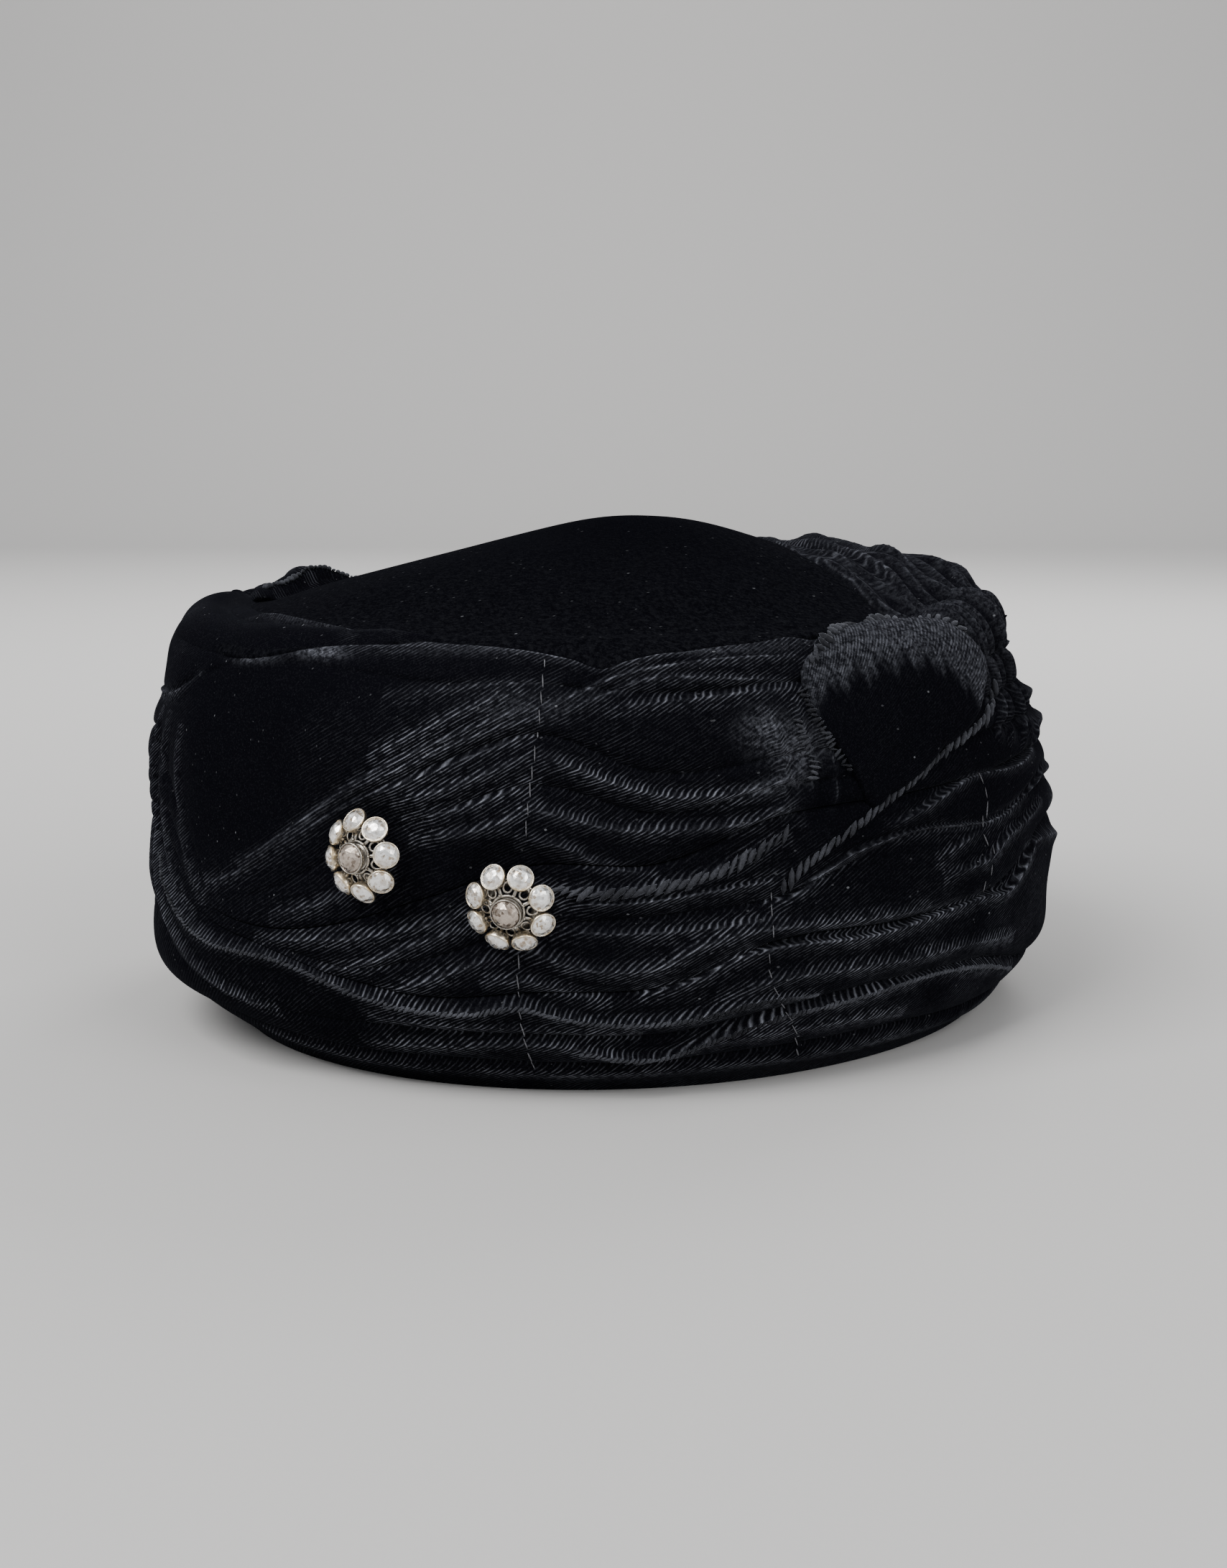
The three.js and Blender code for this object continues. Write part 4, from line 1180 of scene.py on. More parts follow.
def panel_band(angle, along):
    """Where the puff's pile is bent over and painted lit: a band along its top and down its far end."""
    low = smooth(BAND_EDGE["angle"], BAND_EDGE["along"], angle)
    strayed = along + 1.3 * np.sin(angle * 1.7) + 0.8 * np.sin(angle * 4.1 + along * 0.5)
    return ease(strayed, low + BAND_FADE[0], low + BAND_FADE[1]) * ease(angle, *BAND_START)


panel = make_pad("puffed_velvet_panel", "puffed_panel", PANEL, [], 190, 170,
                 rib=lambda angle, along, share: PANEL_RIBS + BAND_RIBS * panel_band(angle, along),
                 nap=lambda angle, along, share: BAND_NAP * panel_band(angle, along),
                 cloth_of=panel_cloth)
peak = make_pad("front_peak_velvet", "front_peak", PEAK, PEAK_FOLDS, 330, 100,
                rib=lambda angle, along, share: np.full(angle.shape, PEAK_RIBS),
                nap=lambda angle, along, share: (
                    PEAK_NAP * ease(share, *PEAK_LIT_SHARES) * ease(angle, *PEAK_START)))
print("pads:", len(panel.data.polygons), len(peak.data.polygons), "faces")

# %% [markdown]
# ## Threads and tufts along a line
# Tacking threads hold the folds down in short dashes, and where a fold's edge turns sharply the
# velvet's ribs stand up on it in a row of slanting tufts, like the lay of a rope. Both are one small
# shape repeated along a line on the cloth, so one Geometry Nodes tree makes them: it walks the line
# at a pitch, stands a flattened bead at each step with its back to the cloth, and slants it.

# %% A tree that sets beads along a line
BEAD_INPUTS = [("Pitch", 1.5), ("Length", 2.0), ("Width", 0.6), ("Height", 0.5), ("Slant", 0.0),
               ("Unevenness", 0.2)]


def bead_tree(name, material, segments=8, rings=5):
    """Beads along the edges of a mesh, whose out attribute points away from the cloth."""
    tree = bpy.data.node_groups.new(name, "GeometryNodeTree")
    face = tree.interface
    face.new_socket("Geometry", in_out="INPUT", socket_type="NodeSocketGeometry")
    for label, value in BEAD_INPUTS:
        face.new_socket(label, in_out="INPUT", socket_type="NodeSocketFloat").default_value = value
    face.new_socket("Seed", in_out="INPUT", socket_type="NodeSocketInt").default_value = 1
    face.new_socket("Geometry", in_out="OUTPUT", socket_type="NodeSocketGeometry")
    given = add_node(tree, "NodeGroupInput").outputs
    line = add_node(tree, "GeometryNodeMeshToCurve", {"Mesh": given["Geometry"]})
    steps = add_node(tree, "GeometryNodeResampleCurve", {
        "Curve": line.outputs["Curve"], "Length": given["Pitch"]}, mode="LENGTH")
    uneven, turn = bead_turn(tree, given)
    placed = add_node(tree, "GeometryNodeInstanceOnPoints", {
        "Points": steps.outputs["Curve"], "Instance": bead(tree, given, segments, rings),
        "Rotation": turn, "Scale": uneven})
    whole = add_node(tree, "GeometryNodeRealizeInstances", {"Geometry": placed.outputs["Instances"]})
    smooth_faces = add_node(tree, "GeometryNodeSetShadeSmooth", {"Geometry": whole.outputs["Geometry"]})
    painted = add_node(tree, "GeometryNodeSetMaterial", {
        "Geometry": smooth_faces.outputs["Geometry"], "Material": material})
    add_node(tree, "NodeGroupOutput", {0: painted.outputs["Geometry"]})
    return tree


def bead_turn(tree, given):
    """Each bead's uneven size, and its turn: its back to the cloth, its length slanted off the line."""
    away = add_node(tree, "GeometryNodeInputNamedAttribute", {"Name": "out"}, data_type="FLOAT_VECTOR")
    stand = add_node(tree, "FunctionNodeAlignRotationToVector", {"Vector": away.outputs["Attribute"]},
                     axis="Z")
    tangent = add_node(tree, "GeometryNodeInputTangent")
    forward = add_node(tree, "FunctionNodeAlignRotationToVector", {
        "Rotation": stand.outputs["Rotation"], "Vector": tangent.outputs["Tangent"]},
                       axis="X", pivot_axis="Z")
    uneven = add_node(tree, "FunctionNodeRandomValue", {"Seed": given["Seed"]}, data_type="FLOAT_VECTOR")
    for side, sign in (("Min", -1.0), ("Max", 1.0)):
        limit = add_node(tree, "ShaderNodeMath", {0: given["Unevenness"], 1: sign, 2: 1.0},
                         operation="MULTIPLY_ADD")
        plug(uneven.inputs[side], limit.outputs[0])
    parts = add_node(tree, "ShaderNodeSeparateXYZ", {0: uneven.outputs["Value"]})
    turn = add_node(tree, "FunctionNodeAxisAngleToRotation", {
        "Axis": (0, 0, 1), "Angle": Wire(given["Slant"]) * parts.outputs["Z"]})
    slanted = add_node(tree, "FunctionNodeRotateRotation", {
        "Rotation": forward.outputs["Rotation"], "Rotate By": turn.outputs["Rotation"]},
                       rotation_space="LOCAL")
    return uneven.outputs["Value"], slanted.outputs["Rotation"]


def bead(tree, given, segments, rings):
    """A ball of few faces, drawn out to the length, width and height of the tree's inputs."""
    ball = add_node(tree, "GeometryNodeMeshUVSphere", {"Segments": segments, "Rings": rings, "Radius": 0.5})
    size = add_node(tree, "ShaderNodeCombineXYZ", {
        axis: given[label] for axis, label in zip("XYZ", ("Length", "Width", "Height"))})
    shaped = add_node(tree, "GeometryNodeTransform", {
        "Geometry": ball.outputs["Mesh"], "Scale": size.outputs["Vector"]})
    return shaped.outputs["Geometry"]


def run_tree(name, source, tree, **values):
    """Applies a tree to a source object and gives back the result as a plain mesh object."""
    modifier = source.modifiers.new(name, "NODES")
    modifier.node_group = tree
    for item in tree.interface.items_tree:
        if item.in_out == "INPUT" and item.name in values:
            modifier[item.identifier] = values[item.name]
    shown = source.evaluated_get(bpy.context.evaluated_depsgraph_get())
    mesh = bpy.data.meshes.new_from_object(shown)
    source.modifiers.remove(modifier)
    bpy.data.objects.remove(source)
    mesh.name = name
    piece = bpy.data.objects.new(name, mesh)
    bpy.context.scene.collection.objects.link(piece)
    return piece

# %% Lines laid on the cloth
def line_object(name, lines):
    """A mesh of bare edges from lists of points and outward directions, all in millimetres."""
    points, edges, away = [], [], []
    for line, out in lines:
        start = len(points)
        points += [tuple(p) for p in np.asarray(line) * MM]
        away += [tuple(o) for o in out]
        edges += [(start + i, start + i + 1) for i in range(len(line) - 1)]
    mesh = bpy.data.meshes.new(name)
    mesh.from_pydata(points, edges, [])
    attribute = mesh.attributes.new("out", "FLOAT_VECTOR", "POINT")
    attribute.data.foreach_set("vector", np.asarray(away, np.float32).ravel())
    source = bpy.data.objects.new(name, mesh)
    bpy.context.scene.collection.objects.link(source)
    return source


def even_steps(route, scale=PER_DEGREE, step=1.0):
    """Points on a smooth route, a step apart in millimetres; scale turns its first numbers into them."""
    steps, places = np.array(route, float).T
    runs = np.linspace(steps[0], steps[-1], max(4, int((steps[-1] - steps[0]) * scale / step)))
    return runs, smooth(steps, places, runs)


def on_drape(route, climbing, lift, step=1.0):
    """Points and outward directions along a route of (angle, along), lying on the folded cloth."""
    runs, across = even_steps(route, 1.0 if climbing else PER_DEGREE, step)
    angle, along = (across, runs) if climbing else (runs, across)
    out = outwards(angle, along)
    return draped_points(angle, along)[0] + lift * out, out


def route_of(name):
    """The route of one of the crests that run round the hat."""
    return next(fold[-1] for fold in ROUND_FOLDS if fold[0] == name)

# %% Thread and tuft materials
THREAD_DARK, THREAD_LIGHT = (0.03, 0.03, 0.034), (0.13, 0.13, 0.145)


def thread_material():
    """Dark thread, lighter where its strands catch the light."""
    material, tree, shader = new_material("tacking_thread")
    twist = noise(object_place(tree), 3000.0, 2.0, counts=(0.3, 0.7))
    set_inputs(shader, {"Base Color": mix_colour(twist, THREAD_DARK, THREAD_LIGHT), "Roughness": 0.6})
    return material


def tuft_material():
    """Tufts of pile: painted lighter in patches, as pile catching the light, and without ribs of their own.
    """
    material, tree, shader = new_material("velvet_tufts")
    place = object_place(tree)
    grain = noise(place, *PILE_NOISE)
    # patches of painted highlight of pile catching the light
    worn = noise(place, 60.0, 3.0, counts=(0.35, 0.7))
    lit = (grain * (worn * 0.7 + 0.08)).clamped()
    set_inputs(shader, {
        "Base Color": mix_colour(lit, PILE_BLACK, PILE_LIT), "Normal": bump(grain, 0.6, 0.0002),
        "Roughness": 0.82, "Specular IOR Level": 0.1, "Sheen Weight": 0.2, "Sheen Roughness": 0.3,
        "Sheen Tint": SHEEN_TINT})
    return material

# %% Tacking threads
TACKS = {  # routes of (along, angle)
    "upper": [(60.5, 61.2), (70, 61.6), (80, 62.2), (93, 62.6)],
    "lower": [(9, 60), (20, 60), (30, 60.2), (38, 60.6)],
    "middle": [(9, 92), (16, 90.5), (23.5, 88.2), (30.5, 86.8), (38, 87), (45.5, 87.2)],
    "back": [(40, 118.6), (46, 120), (52, 118.2), (58, 119.8), (63, 118.6)],
}
thread_lines = [on_drape(route, True, 0.12, 0.8) for route in TACKS.values()]
threads = run_tree("tacking_threads", line_object("thread lines", thread_lines),
                   bead_tree("thread dashes", thread_material()), Pitch=3.6 * MM, Length=3.2 * MM,
                   Width=0.26 * MM, Height=0.26 * MM, Slant=0.12, Unevenness=0.25, Seed=3)
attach(threads, "root")
print("tacking threads:", len(threads.data.polygons), "faces")

# %% Rope-like edges
# routes of (angle, along) on the puffed panel's rim, under its lower edge, and right of the peak
TEETH = [(93.5, 92), (97.5, 97.3), (102.5, 101.8), (107, 105.6), (111.5, 108), (115.5, 107.4),
         (118.5, 103.2), (121.5, 96)]
PANEL_BRAID = [(88.5, 47), (90.5, 50), (93, 53), (96, 56.2), (100, 60.3), (105, 65), (110, 69),
               (115, 72.2), (122, 77.2), (126, 82)]
FAR_EDGE = [(-66, 101), (-56, 101.5), (-48, 101.5), (-40, 101)]
RAGGED = [   # along, angle: where the pinched cloth's nap stands up against the puff
    [(69.5, 96.6), (75, 94.4), (80, 92.7), (86, 91.6)],
    [(68.5, 91.8), (72, 92.0), (76, 91.0), (80, 90.4)],
]


def on_panel(route, lift):
    """Points and outward directions along a route on the panel's own surface."""
    angle, along = even_steps(route)
    low, high = (smooth(PANEL["angle"], PANEL[border], angle) for border in ("low", "high"))
    share = np.clip((along - low) / (high - low), 0, 1)
    out = outwards(angle, along)
    return pad_surface(PANEL, [], angle, share)[0] + lift * out, out


def beside_panel(route, lift):
    """The same on the cloth that the panel's lower edge meets."""
    angle, along = even_steps(route)
    out = outwards(angle, along)
    return form(angle, along) + (free_relief(angle, along)[0] + lift)[:, None] * out, out


FOLD_LIFT = 0.05    # how high the middle of a tuft stands over a fold
waist_braid = on_drape(route_of("waist braid"), False, FOLD_LIFT)
fine_lines = [on_drape(route_of(name), False, FOLD_LIFT)
              for name in ("braid lower", "second crest", "front sweep")]
ROPES = {  # pitch, length, width and height of the tufts, slant in degrees, their lines
    "coarse": (2.0, 3.9, 1.0, 1.1, 33, [waist_braid, beside_panel(PANEL_BRAID, 0.3)]),
    "fine": (1.05, 1.9, 0.55, 0.6, 34, fine_lines),
    "toothed": (1.8, 3.3, 1.1, 1.1, 62, [on_panel(TEETH, 0.4)]),
    "ragged": (1.0, 2.2, 0.5, 0.6, 72, [on_drape(route, True, 0.5) for route in RAGGED]),
    "far": (1.6, 2.6, 0.9, 1.1, 60, [on_drape(FAR_EDGE, False, 0.3)]),
}
tuft_tree = bead_tree("tuft row", tuft_material(), 6, 4)
for name, (pitch, length, width, height, slant, lines) in ROPES.items():
    tufts = run_tree(f"{name}_tufts", line_object("tuft lines", lines), tuft_tree, Pitch=pitch * MM,
                     Length=length * MM, Width=width * MM, Height=height * MM, Slant=math.radians(slant),
                     Unevenness=0.4, Seed=5)
    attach(tufts, "root")
    print(tufts.name, len(tufts.data.polygons), "faces")

# %% [markdown]
# ## The flowers
# Each flower is a button of soldered metal: a pierced gallery on a ring, eight cups that lean
# outwards with a clear stone in each, and a taller cup in the middle with a smoky one. The stones
# are cut glass with a bright foil behind them, and the light that the foil's facets throw back is
# painted into the stones' colour as brighter and dimmer cells: painted glints.

# %% Where the flowers sit
PETALS = 8
PETAL_RING = 6.9        # the petals' middles lie on a ring of this radius
PETAL_HEIGHT = 2.9
PETAL_LEAN = 40         # degrees
CENTRE_HEIGHT = 5.0
SETTINGS = {  # turns in degrees: to the front, down, and about the flower's own axis
    "flower_1": {"forward": 17, "down": 2, "spin": 8},
    "flower_2": {"forward": 10, "down": 13, "spin": 22.5},
}
FLOWER_LIFT = 0.9       # the back stands this far over the form
PETAL_REACH = 8.5       # the petals' tips are this far from the middle
TIP_LIFT = 0.6          # the share of their dip that a tilted flower is raised by


def turn_matrix(axis, degrees):
    """A turn about one axis."""
    c, s = math.cos(math.radians(degrees)), math.sin(math.radians(degrees))
    i, j = {"x": (1, 2), "y": (2, 0), "z": (0, 1)}[axis]
    matrix = np.eye(3)
    matrix[i, i] = matrix[j, j] = c
    matrix[i, j], matrix[j, i] = -s, s
    return matrix


def petal_place(i):
    """The turn and the place of one petal within its flower."""
    around = turn_matrix("z", 360 * i / PETALS)
    return around @ turn_matrix("y", PETAL_LEAN), around @ [PETAL_RING, 0, PETAL_HEIGHT]


def flower_place(name):
    """The turn and the place of a flower, as in the plain model."""
    place, tilt = FLOWERS[name], SETTINGS[name]
    angle, along = np.array(float(place["angle"])), np.array(float(place["along"]))
    out = outwards(angle, along)
    side = np.cross([0, 0, 1], out)
    side /= np.linalg.norm(side)
    turn = np.stack([side, np.cross(out, side), out], axis=1)
    turn = turn @ turn_matrix("y", -tilt["forward"]) @ turn_matrix("x", tilt["down"])
    tip = TIP_LIFT * PETAL_REACH * math.sin(math.radians(max(tilt["forward"], tilt["down"])))
    return turn @ turn_matrix("z", tilt["spin"]), form(angle, along) + (FLOWER_LIFT + tip) * out

# %% Small turned and cut shapes
def round_angles(sides):
    """The angles of evenly spaced corners, in radians."""
    return 2 * math.pi * np.arange(sides) / sides


def turned(profile, sides):
    """A closed shape turned about Z, from (radius, height) points that start and end on the axis."""
    grid = np.array([[(r * math.cos(a), r * math.sin(a), z) for r, z in profile[1:-1]]
                     for a in round_angles(sides)])
    return closed_by_poles(grid, (0, 0, profile[0][1]), (0, 0, profile[-1][1]))


def ring_shape(radius, thickness, height, sides=28, section=8, squash=1.0, oval=1.0):
    """A ring of wire about Z: oval stretches it along X, and squash flattens the wire."""
    a, b = np.meshgrid(round_angles(sides), round_angles(section), indexing="ij")
    reach = radius + thickness * np.cos(b)
    level = height + squash * thickness * np.sin(b)
    grid = np.stack([reach * np.cos(a) * oval, reach * np.sin(a), level], -1)
    return grid.reshape(-1, 3), grid_faces(sides, section, True, True).tolist()

# %% Cut stones
# corners in a ring, its share of the radius, its share of the height, how far it is turned on
TIERS = [
    (16, 1.0, 0.04, 0),      # the girdle, above and below
    (16, 1.0, -0.04, 0),
    (8, 0.84, 0.45, 0.5),    # the crown
    (8, 0.6, 0.84, 0),
    (8, 0.36, 1.0, 0.5),     # the table
    (8, 0.62, -0.5, 0.5),    # the pavilion and its point
    (1, 0.0, -1.0, 0),
]


def cut_stone(radius, crown, pavilion):
    """A round cut stone: the hull of its tiers of corners, its normals outwards."""
    corners = []
    for count, reach, height, offset in TIERS:
        for i in range(count):
            a = 2 * math.pi * (i + offset) / count
            level = height * (crown if height > 0 else pavilion)
            corners.append((radius * reach * math.cos(a), radius * reach * math.sin(a), level))
    shell = bmesh.new()
    for corner in corners:
        shell.verts.new(corner)
    bmesh.ops.convex_hull(shell, input=shell.verts[:])
    bmesh.ops.dissolve_limit(shell, angle_limit=0.02, verts=shell.verts[:], edges=shell.edges[:])
    bmesh.ops.recalc_face_normals(shell, faces=shell.faces[:])
    shell.verts.index_update()
    points = np.array([v.co[:] for v in shell.verts])
    faces = [[v.index for v in face.verts] for face in shell.faces]
    shell.free()
    return points, faces

# %% Many shapes in one mesh
class Gathered:
    """Shapes gathered into one mesh, each with its own finish number."""

    def __init__(self):
        self.points, self.faces, self.finishes, self.gilt = [], [], [], []
        self.count = 0

    def add(self, shape, turn=np.eye(3), place=(0, 0, 0), finish=0, gilt=0.0):
        points, faces = shape
        self.points.append(np.asarray(points) @ np.asarray(turn).T + np.asarray(place))
        self.faces += [[self.count + i for i in face] for face in faces]
        self.finishes += [finish] * len(faces)
        self.gilt += [gilt] * len(points)
        self.count += len(points)

    def piece(self, name, turn, place, materials, flat=False):
        points = np.concatenate(self.points) @ turn.T + place
        piece = make_piece(name, points, self.faces, gilt=self.gilt)
        for material in materials:
            piece.data.materials.append(material)
        piece.data.polygons.foreach_set("material_index", self.finishes)
        if flat:
            piece.data.polygons.foreach_set("use_smooth", np.zeros(len(self.faces), bool))
        return piece

# %% Metal, foil and glass
def roughness_range(value, smooth_end, rough_end):
    """A roughness that goes from one value to another as the pattern goes from zero to one."""
    node = add_node(value.socket.id_data, "ShaderNodeMapRange",
                    {"Value": value, "To Min": smooth_end, "To Max": rough_end})
    return Wire(node.outputs["Result"])


def metal_material():
    """Plated metal: silver grey on the gallery and gilt on the cups, dull where it is worn."""
    material, tree, shader = new_material("aged_plate")
    place = object_place(tree)
    wear = noise(place, 700.0, 4.0, 0.65, (0.3, 0.7))
    silver = mix_colour(wear, (0.2, 0.185, 0.165), (0.62, 0.58, 0.52))
    gold = mix_colour(wear, (0.58, 0.44, 0.24), (0.97, 0.93, 0.85))
    set_inputs(shader, {
        "Base Color": mix_colour(mark(tree, "gilt"), silver, gold), "Metallic": 1.0,
        "Roughness": roughness_range(wear, 0.42, 0.2),
        "Normal": bump(noise(place, 1600.0, 3.0), 0.3, 0.0001)})
    return material


def foil_material(name, bright, dull):
    """Bright foil with dull spots."""
    material, tree, shader = new_material(name)
    spots = noise(object_place(tree), 900.0, 3.0, 0.7, (0.3, 0.6))
    set_inputs(shader, {"Base Color": mix_colour(spots, dull, bright), "Metallic": 1.0, "Roughness": 0.28})
    return material


def stone_material(name, bright, dim):
    """Glass with foil behind it: cells like the foil's facets, painted brighter or dimmer as painted
    glints, under a clear gloss.
    """
    material, tree, shader = new_material(name)
    place = object_place(tree)
    # brightness sets the painted glints: cells standing in for the light the foil's facets throw back
    _, brightness, dullness = cells(place, 1800.0)
    film = noise(place, 500.0, 3.0, 0.6, (0.2, 0.5))
    set_inputs(shader, {
        "Base Color": mix_colour(spread(brightness, 0.05, 0.3) * film, dim, bright), "Metallic": 0.8,
        "Roughness": roughness_range(dullness, 0.08, 0.5), "Coat Weight": 1.0, "Coat Roughness": 0.03})
    return material


METAL = metal_material()
CLEAR_FOIL = foil_material("clear_foil", (1.0, 0.995, 0.98), (0.95, 0.92, 0.85))
SMOKY_FOIL = foil_material("smoky_foil", (0.62, 0.5, 0.42), (0.2, 0.15, 0.12))
# each stone's first colour is its painted glint, the second its dimmer facets
CLEAR_GLASS = stone_material("clear_glass", (1.0, 0.99, 0.96), (0.42, 0.33, 0.24))
SMOKY_GLASS = stone_material("smoky_glass", (0.52, 0.44, 0.37), (0.14, 0.1, 0.07))

# %% Metalwork of a flower
PETAL_STONE = {"radius": 2.3, "crown": 1.1, "pavilion": 1.0}
CENTRE_STONE = {"radius": 2.75, "crown": 1.6, "pavilion": 1.1}


def cup_shape(stone, rim_height):
    """A thin bezel cup round a stone, with a turned-over rim and a rounded base."""
    r, deep = stone["radius"], stone["pavilion"] + 0.28
    base = [(0, -deep - 0.35), (0.6 * r, -deep - 0.33), (0.86 * r, -deep - 0.1), (r + 0.14, -0.55)]
    rim = [(r + 0.22, 0.0), (r + 0.2, rim_height - 0.12), (r + 0.1, rim_height),
           (r - 0.06, rim_height - 0.06), (r - 0.02, rim_height - 0.2), (r + 0.05, 0.0)]
    return turned(base + rim + [(r - 0.05, -0.35), (0, -0.36)], 28)


def foil_shape(stone):
    """The faceted bright cone under a stone, and up its flank to the rim of the cup."""
    r, deep = stone["radius"], stone["pavilion"] + 0.12
    profile = [(0, -deep - 0.1), (0.3, -deep - 0.1), (r + 0.03, -0.3), (r + 0.13, 0.0), (r + 0.11, 0.16),
               (r + 0.05, 0.16), (r + 0.05, 0.0), (r - 0.04, -0.2), (0, -deep)]
    return turned(profile, 8)


def arm_shape(sides=8):
    """A rounded arm that runs from the middle post down and out under a petal cup."""
    path = np.array([(2.4, 3.0), (3.3, 3.25), (4.3, 2.75), (5.4, 1.9), (5.9, 1.1)])
    grid = np.array([[(x, 0.36 * math.cos(b), z + 0.32 * math.sin(b)) for b in round_angles(sides)]
                     for x, z in path])
    corners = list(range(sides * len(path)))
    faces = grid_faces(len(path), sides, False, True).tolist()
    return grid.reshape(-1, 3), faces + [corners[:sides], corners[:-sides - 1:-1]]


def bead_shape(radius):
    profile = [(radius * math.sin(t), -radius * math.cos(t)) for t in np.linspace(0, math.pi, 7)]
    profile[0], profile[-1] = (0, -radius), (0, radius)
    return turned(profile, 10)


def metalwork(name):
    """The setting of a flower with its cups and the foils in them."""
    work = Gathered()
    work.add(ring_shape(4.5, 0.85, 0.45, 36, 8, 0.5))    # the ring that is sewn down
    work.add(turned([(0, 1.0), (1.7, 1.0), (2.2, 2.4), (2.75, 3.3), (2.6, 3.5), (0, 3.5)], 20))
    work.add(cup_shape(CENTRE_STONE, 0.4), place=(0, 0, CENTRE_HEIGHT))
    work.add(foil_shape(CENTRE_STONE), place=(0, 0, CENTRE_HEIGHT), finish=2)
    work.add(ring_shape(3.05, 0.3, 3.55, 36, 8))         # the collar round the middle post
    for i in range(PETALS):
        turn, place = petal_place(i)
        work.add(cup_shape(PETAL_STONE, 0.32), turn, place, gilt=0.9)
        work.add(foil_shape(PETAL_STONE), turn, place, finish=1)
        between = turn_matrix("z", 360 * (i + 0.5) / PETALS)
        eye = between @ turn_matrix("y", 24)
        # an eye of the gallery between two petals, and a bead where each arm leaves the collar
        work.add(ring_shape(0.84, 0.2, 0, 20, 8, 0.9, oval=1.25), eye, between @ [4.45, 0, 2.65])
        arm = turn_matrix("z", 360 * i / PETALS)
        work.add(arm_shape(), arm)
        work.add(bead_shape(0.3), place=arm @ [3.35, 0, 3.85])
    turn, place = flower_place(name)
    return work.piece(f"{name}_metalwork", turn, place, [METAL, CLEAR_FOIL, SMOKY_FOIL])

# %% Stones and whole flowers
def stones(name):
    """The clear stones of a flower as one piece, and the smoky one as another."""
    clear = Gathered()
    for i in range(PETALS):
        turn, place = petal_place(i)
        clear.add(cut_stone(**PETAL_STONE), turn @ turn_matrix("z", 17 * i), place)
    turn, place = flower_place(name)
    petals = clear.piece(f"{name}_clear_stones", turn, place, [CLEAR_GLASS], flat=True)
    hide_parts(*[f"{name}_stone_{i + 1}" for i in range(PETALS)])
    smoky = Gathered()
    smoky.add(cut_stone(**CENTRE_STONE), place=(0, 0, CENTRE_HEIGHT))
    centre = smoky.piece(f"{name}_smoky_stone", turn, place, [SMOKY_GLASS], flat=True)
    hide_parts(f"{name}_stone_centre")
    return petals, centre


for name in FLOWERS:
    metal = metalwork(name)
    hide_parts(f"{name}_setting")
    for piece in (metal, *stones(name)):
        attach(piece, "root")
    print(name, len(metal.data.polygons), "faces of metal")

# %% [markdown]
# ## Which pieces are cloth
# The sides are three strips of velvet, gathered and laid round the hat one above the other, and the
# crown is one piece of velvet pulled over the top; each was cut flat before it was gathered. The puff
# on the left side and the folded peak over the brow hold wadding or folded cloth. The script only
# prints how many such pieces there are.

# %% How many sheets and pads
print("declared:", len(strips) + 1, "sheets and 2 padded pieces")

# %% [markdown]
# ## Floor, light and camera
# The floor is a pale sheet that sweeps up behind the hat. Black velvet needs a large soft light from
# above and in front to draw its folds, and weaker ones from the sides to part it from the ground.

# %% Stage
FLOOR_GREY = (0.50, 0.49, 0.48)
FLOOR_GRAIN = 0.985     # the paper's grain darkens it to this share


def paper_material():
    material, tree, shader = new_material("pale_paper")
    grain = noise(object_place(tree), 900.0, 2.0, counts=(0.2, 0.8))
    colour = mix_colour(grain, tuple(FLOOR_GRAIN * c for c in FLOOR_GREY), FLOOR_GREY)
    set_inputs(shader, {"Base Color": colour, "Roughness": 0.9, "Specular IOR Level": 0.2})
    return material


def sweep_floor():
    """A paper sweep: flat under the hat, curving up into a wall on the far side of the camera."""
    front, back, bend, wall = 3.5, -2.2, 0.9, 2.6
    turn = np.linspace(0, math.pi / 2, 16)
    across = np.linspace(-5, 5, 3)
    path = [(front, 0.0)] + [(back - bend * math.sin(t), bend - bend * math.cos(t)) for t in turn]
    path.append((back - bend, wall + bend))
    points = np.array([[x, y, z] for y in across for x, z in path])
    spin = turn_matrix("z", math.degrees(CAMERA_TURN))
    faces = grid_faces(len(across), len(path), False, False)[:, ::-1]
    sheet = make_piece("paper_sweep", points @ spin.T / MM, faces.tolist())
    sheet.data.materials.append(paper_material())

# %% Camera
CAMERA_PLACE = np.array([0.3908, -0.1653, 0.1223])
CAMERA_AIM = np.array([0.0, 0.0016, 0.047])
CAMERA_LENS = 42.0
CAMERA_TURN = math.atan2(CAMERA_PLACE[1], CAMERA_PLACE[0])


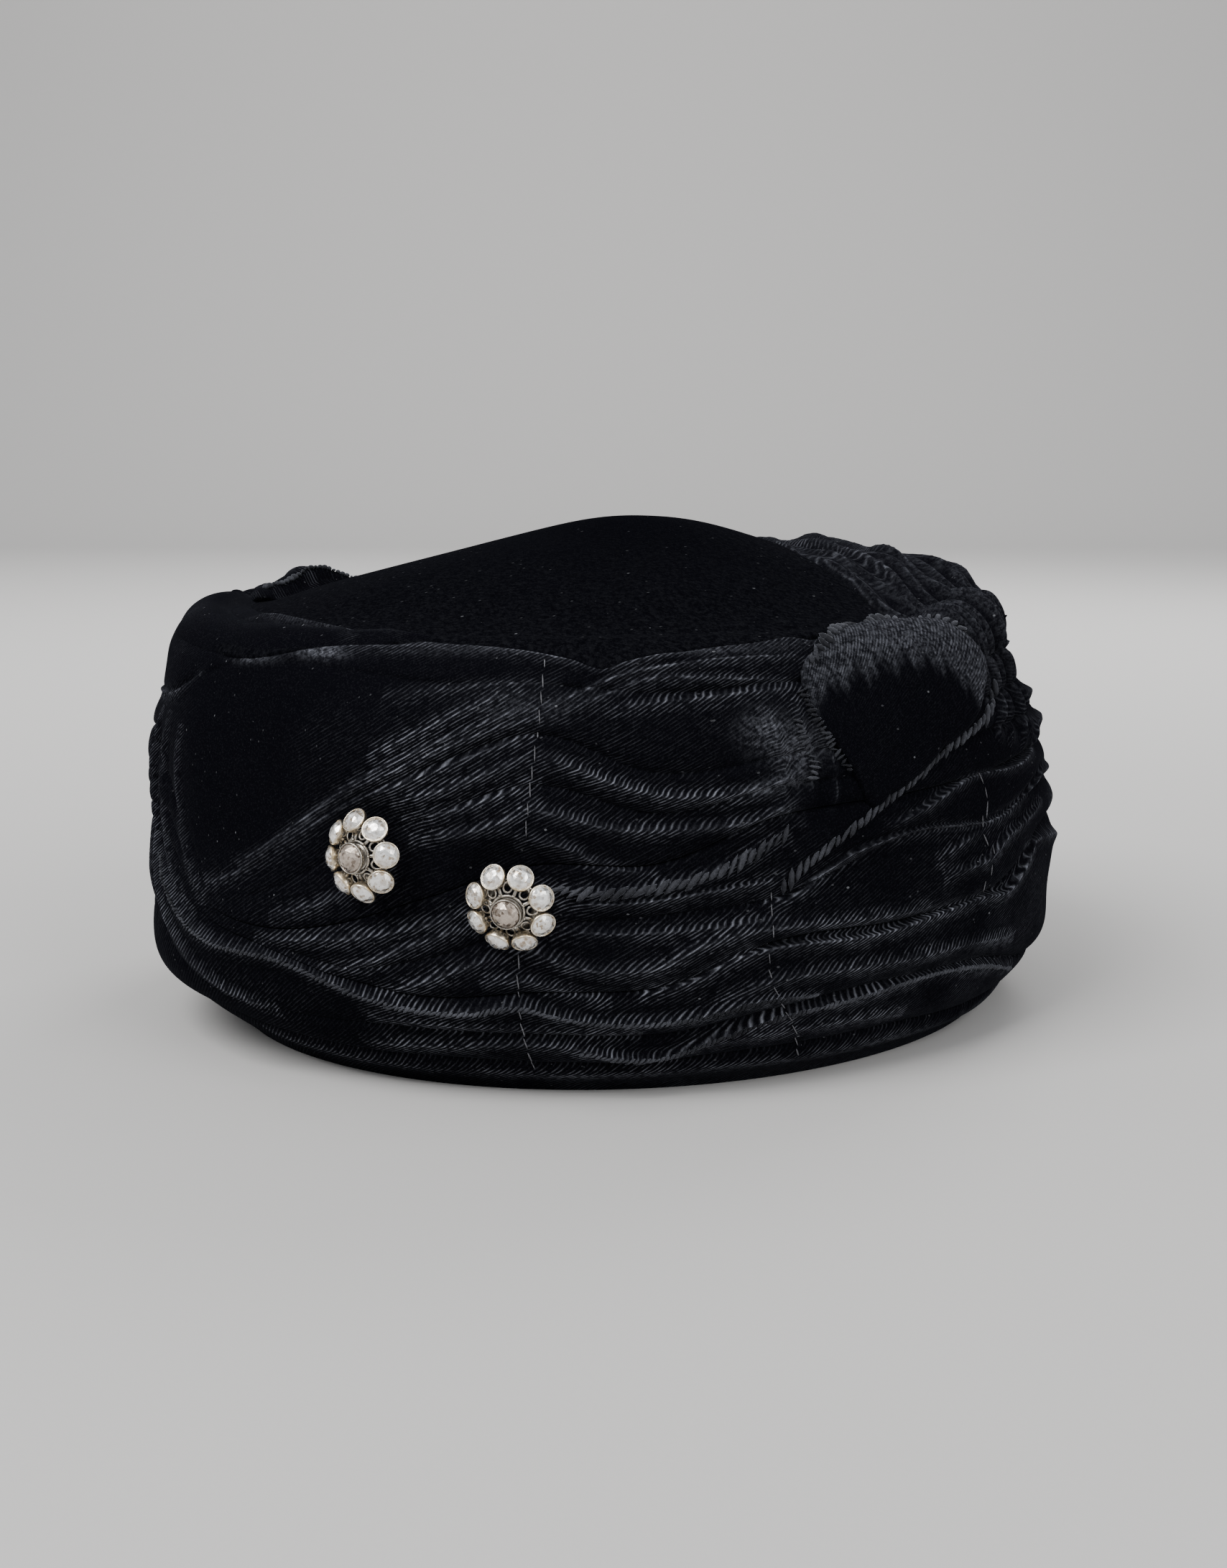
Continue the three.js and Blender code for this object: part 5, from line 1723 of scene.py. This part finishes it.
def aim(thing, place, target):
    """Puts a camera or a light at a place, turned to a target and level."""
    away = np.asarray(place) - np.asarray(target)
    flat = math.hypot(away[0], away[1])
    thing.location = place
    thing.rotation_euler = (math.atan2(flat, away[2]), 0, math.atan2(away[1], away[0]) + math.pi / 2)


def add_camera():
    data = bpy.data.cameras.new("camera")
    data.lens = CAMERA_LENS
    data.sensor_width = 36.0    # millimetres, as is the lens
    data.sensor_fit = "AUTO"
    data.clip_start = 0.01
    camera = bpy.data.objects.new("camera", data)
    bpy.context.scene.collection.objects.link(camera)
    aim(camera, CAMERA_PLACE, CAMERA_AIM)
    bpy.context.scene.camera = camera


def soft_light(name, turn, height, distance, size, power, target):
    """A square softbox, its place given by a turn from the camera's side."""
    angle = CAMERA_TURN + math.radians(turn)
    data = bpy.data.lights.new(name, "AREA")
    data.shape = "SQUARE"
    data.size = size
    data.energy = power
    light = bpy.data.objects.new(name, data)
    bpy.context.scene.collection.objects.link(light)
    aim(light, (distance * math.cos(angle), distance * math.sin(angle), height), target)


HAT_MIDDLE = (0, 0, 0.05)
WALL_AWAY, WALL_HIGH = 2.6, 0.9    # how far behind the hat the wall's middle is, and how high
ROOM_COLOUR, ROOM_LIGHT = (0.8, 0.82, 0.85), 0.75
LIGHTS = [    # name, turn from the camera in degrees, height, distance, size, power, where it points
    ("key", -50, 1.15, 0.9, 0.8, 22, HAT_MIDDLE),
    ("fill", 45, 0.8, 1.3, 0.9, 10, HAT_MIDDLE),
    ("rim", 150, 1.0, 1.1, 0.6, 8, HAT_MIDDLE),
    ("wall", 180, 1.7, 0.6, 1.4, 50,
     (-WALL_AWAY * math.cos(CAMERA_TURN), -WALL_AWAY * math.sin(CAMERA_TURN), WALL_HIGH)),
]
add_camera()
sweep_floor()
for light in LIGHTS:
    soft_light(*light)
world = bpy.data.worlds.new("room")
world.use_nodes = True
set_inputs(world.node_tree.nodes["Background"], {"Color": ROOM_COLOUR, "Strength": ROOM_LIGHT})
bpy.context.scene.world = world
print("camera", math.degrees(CAMERA_TURN), "degrees from +X")
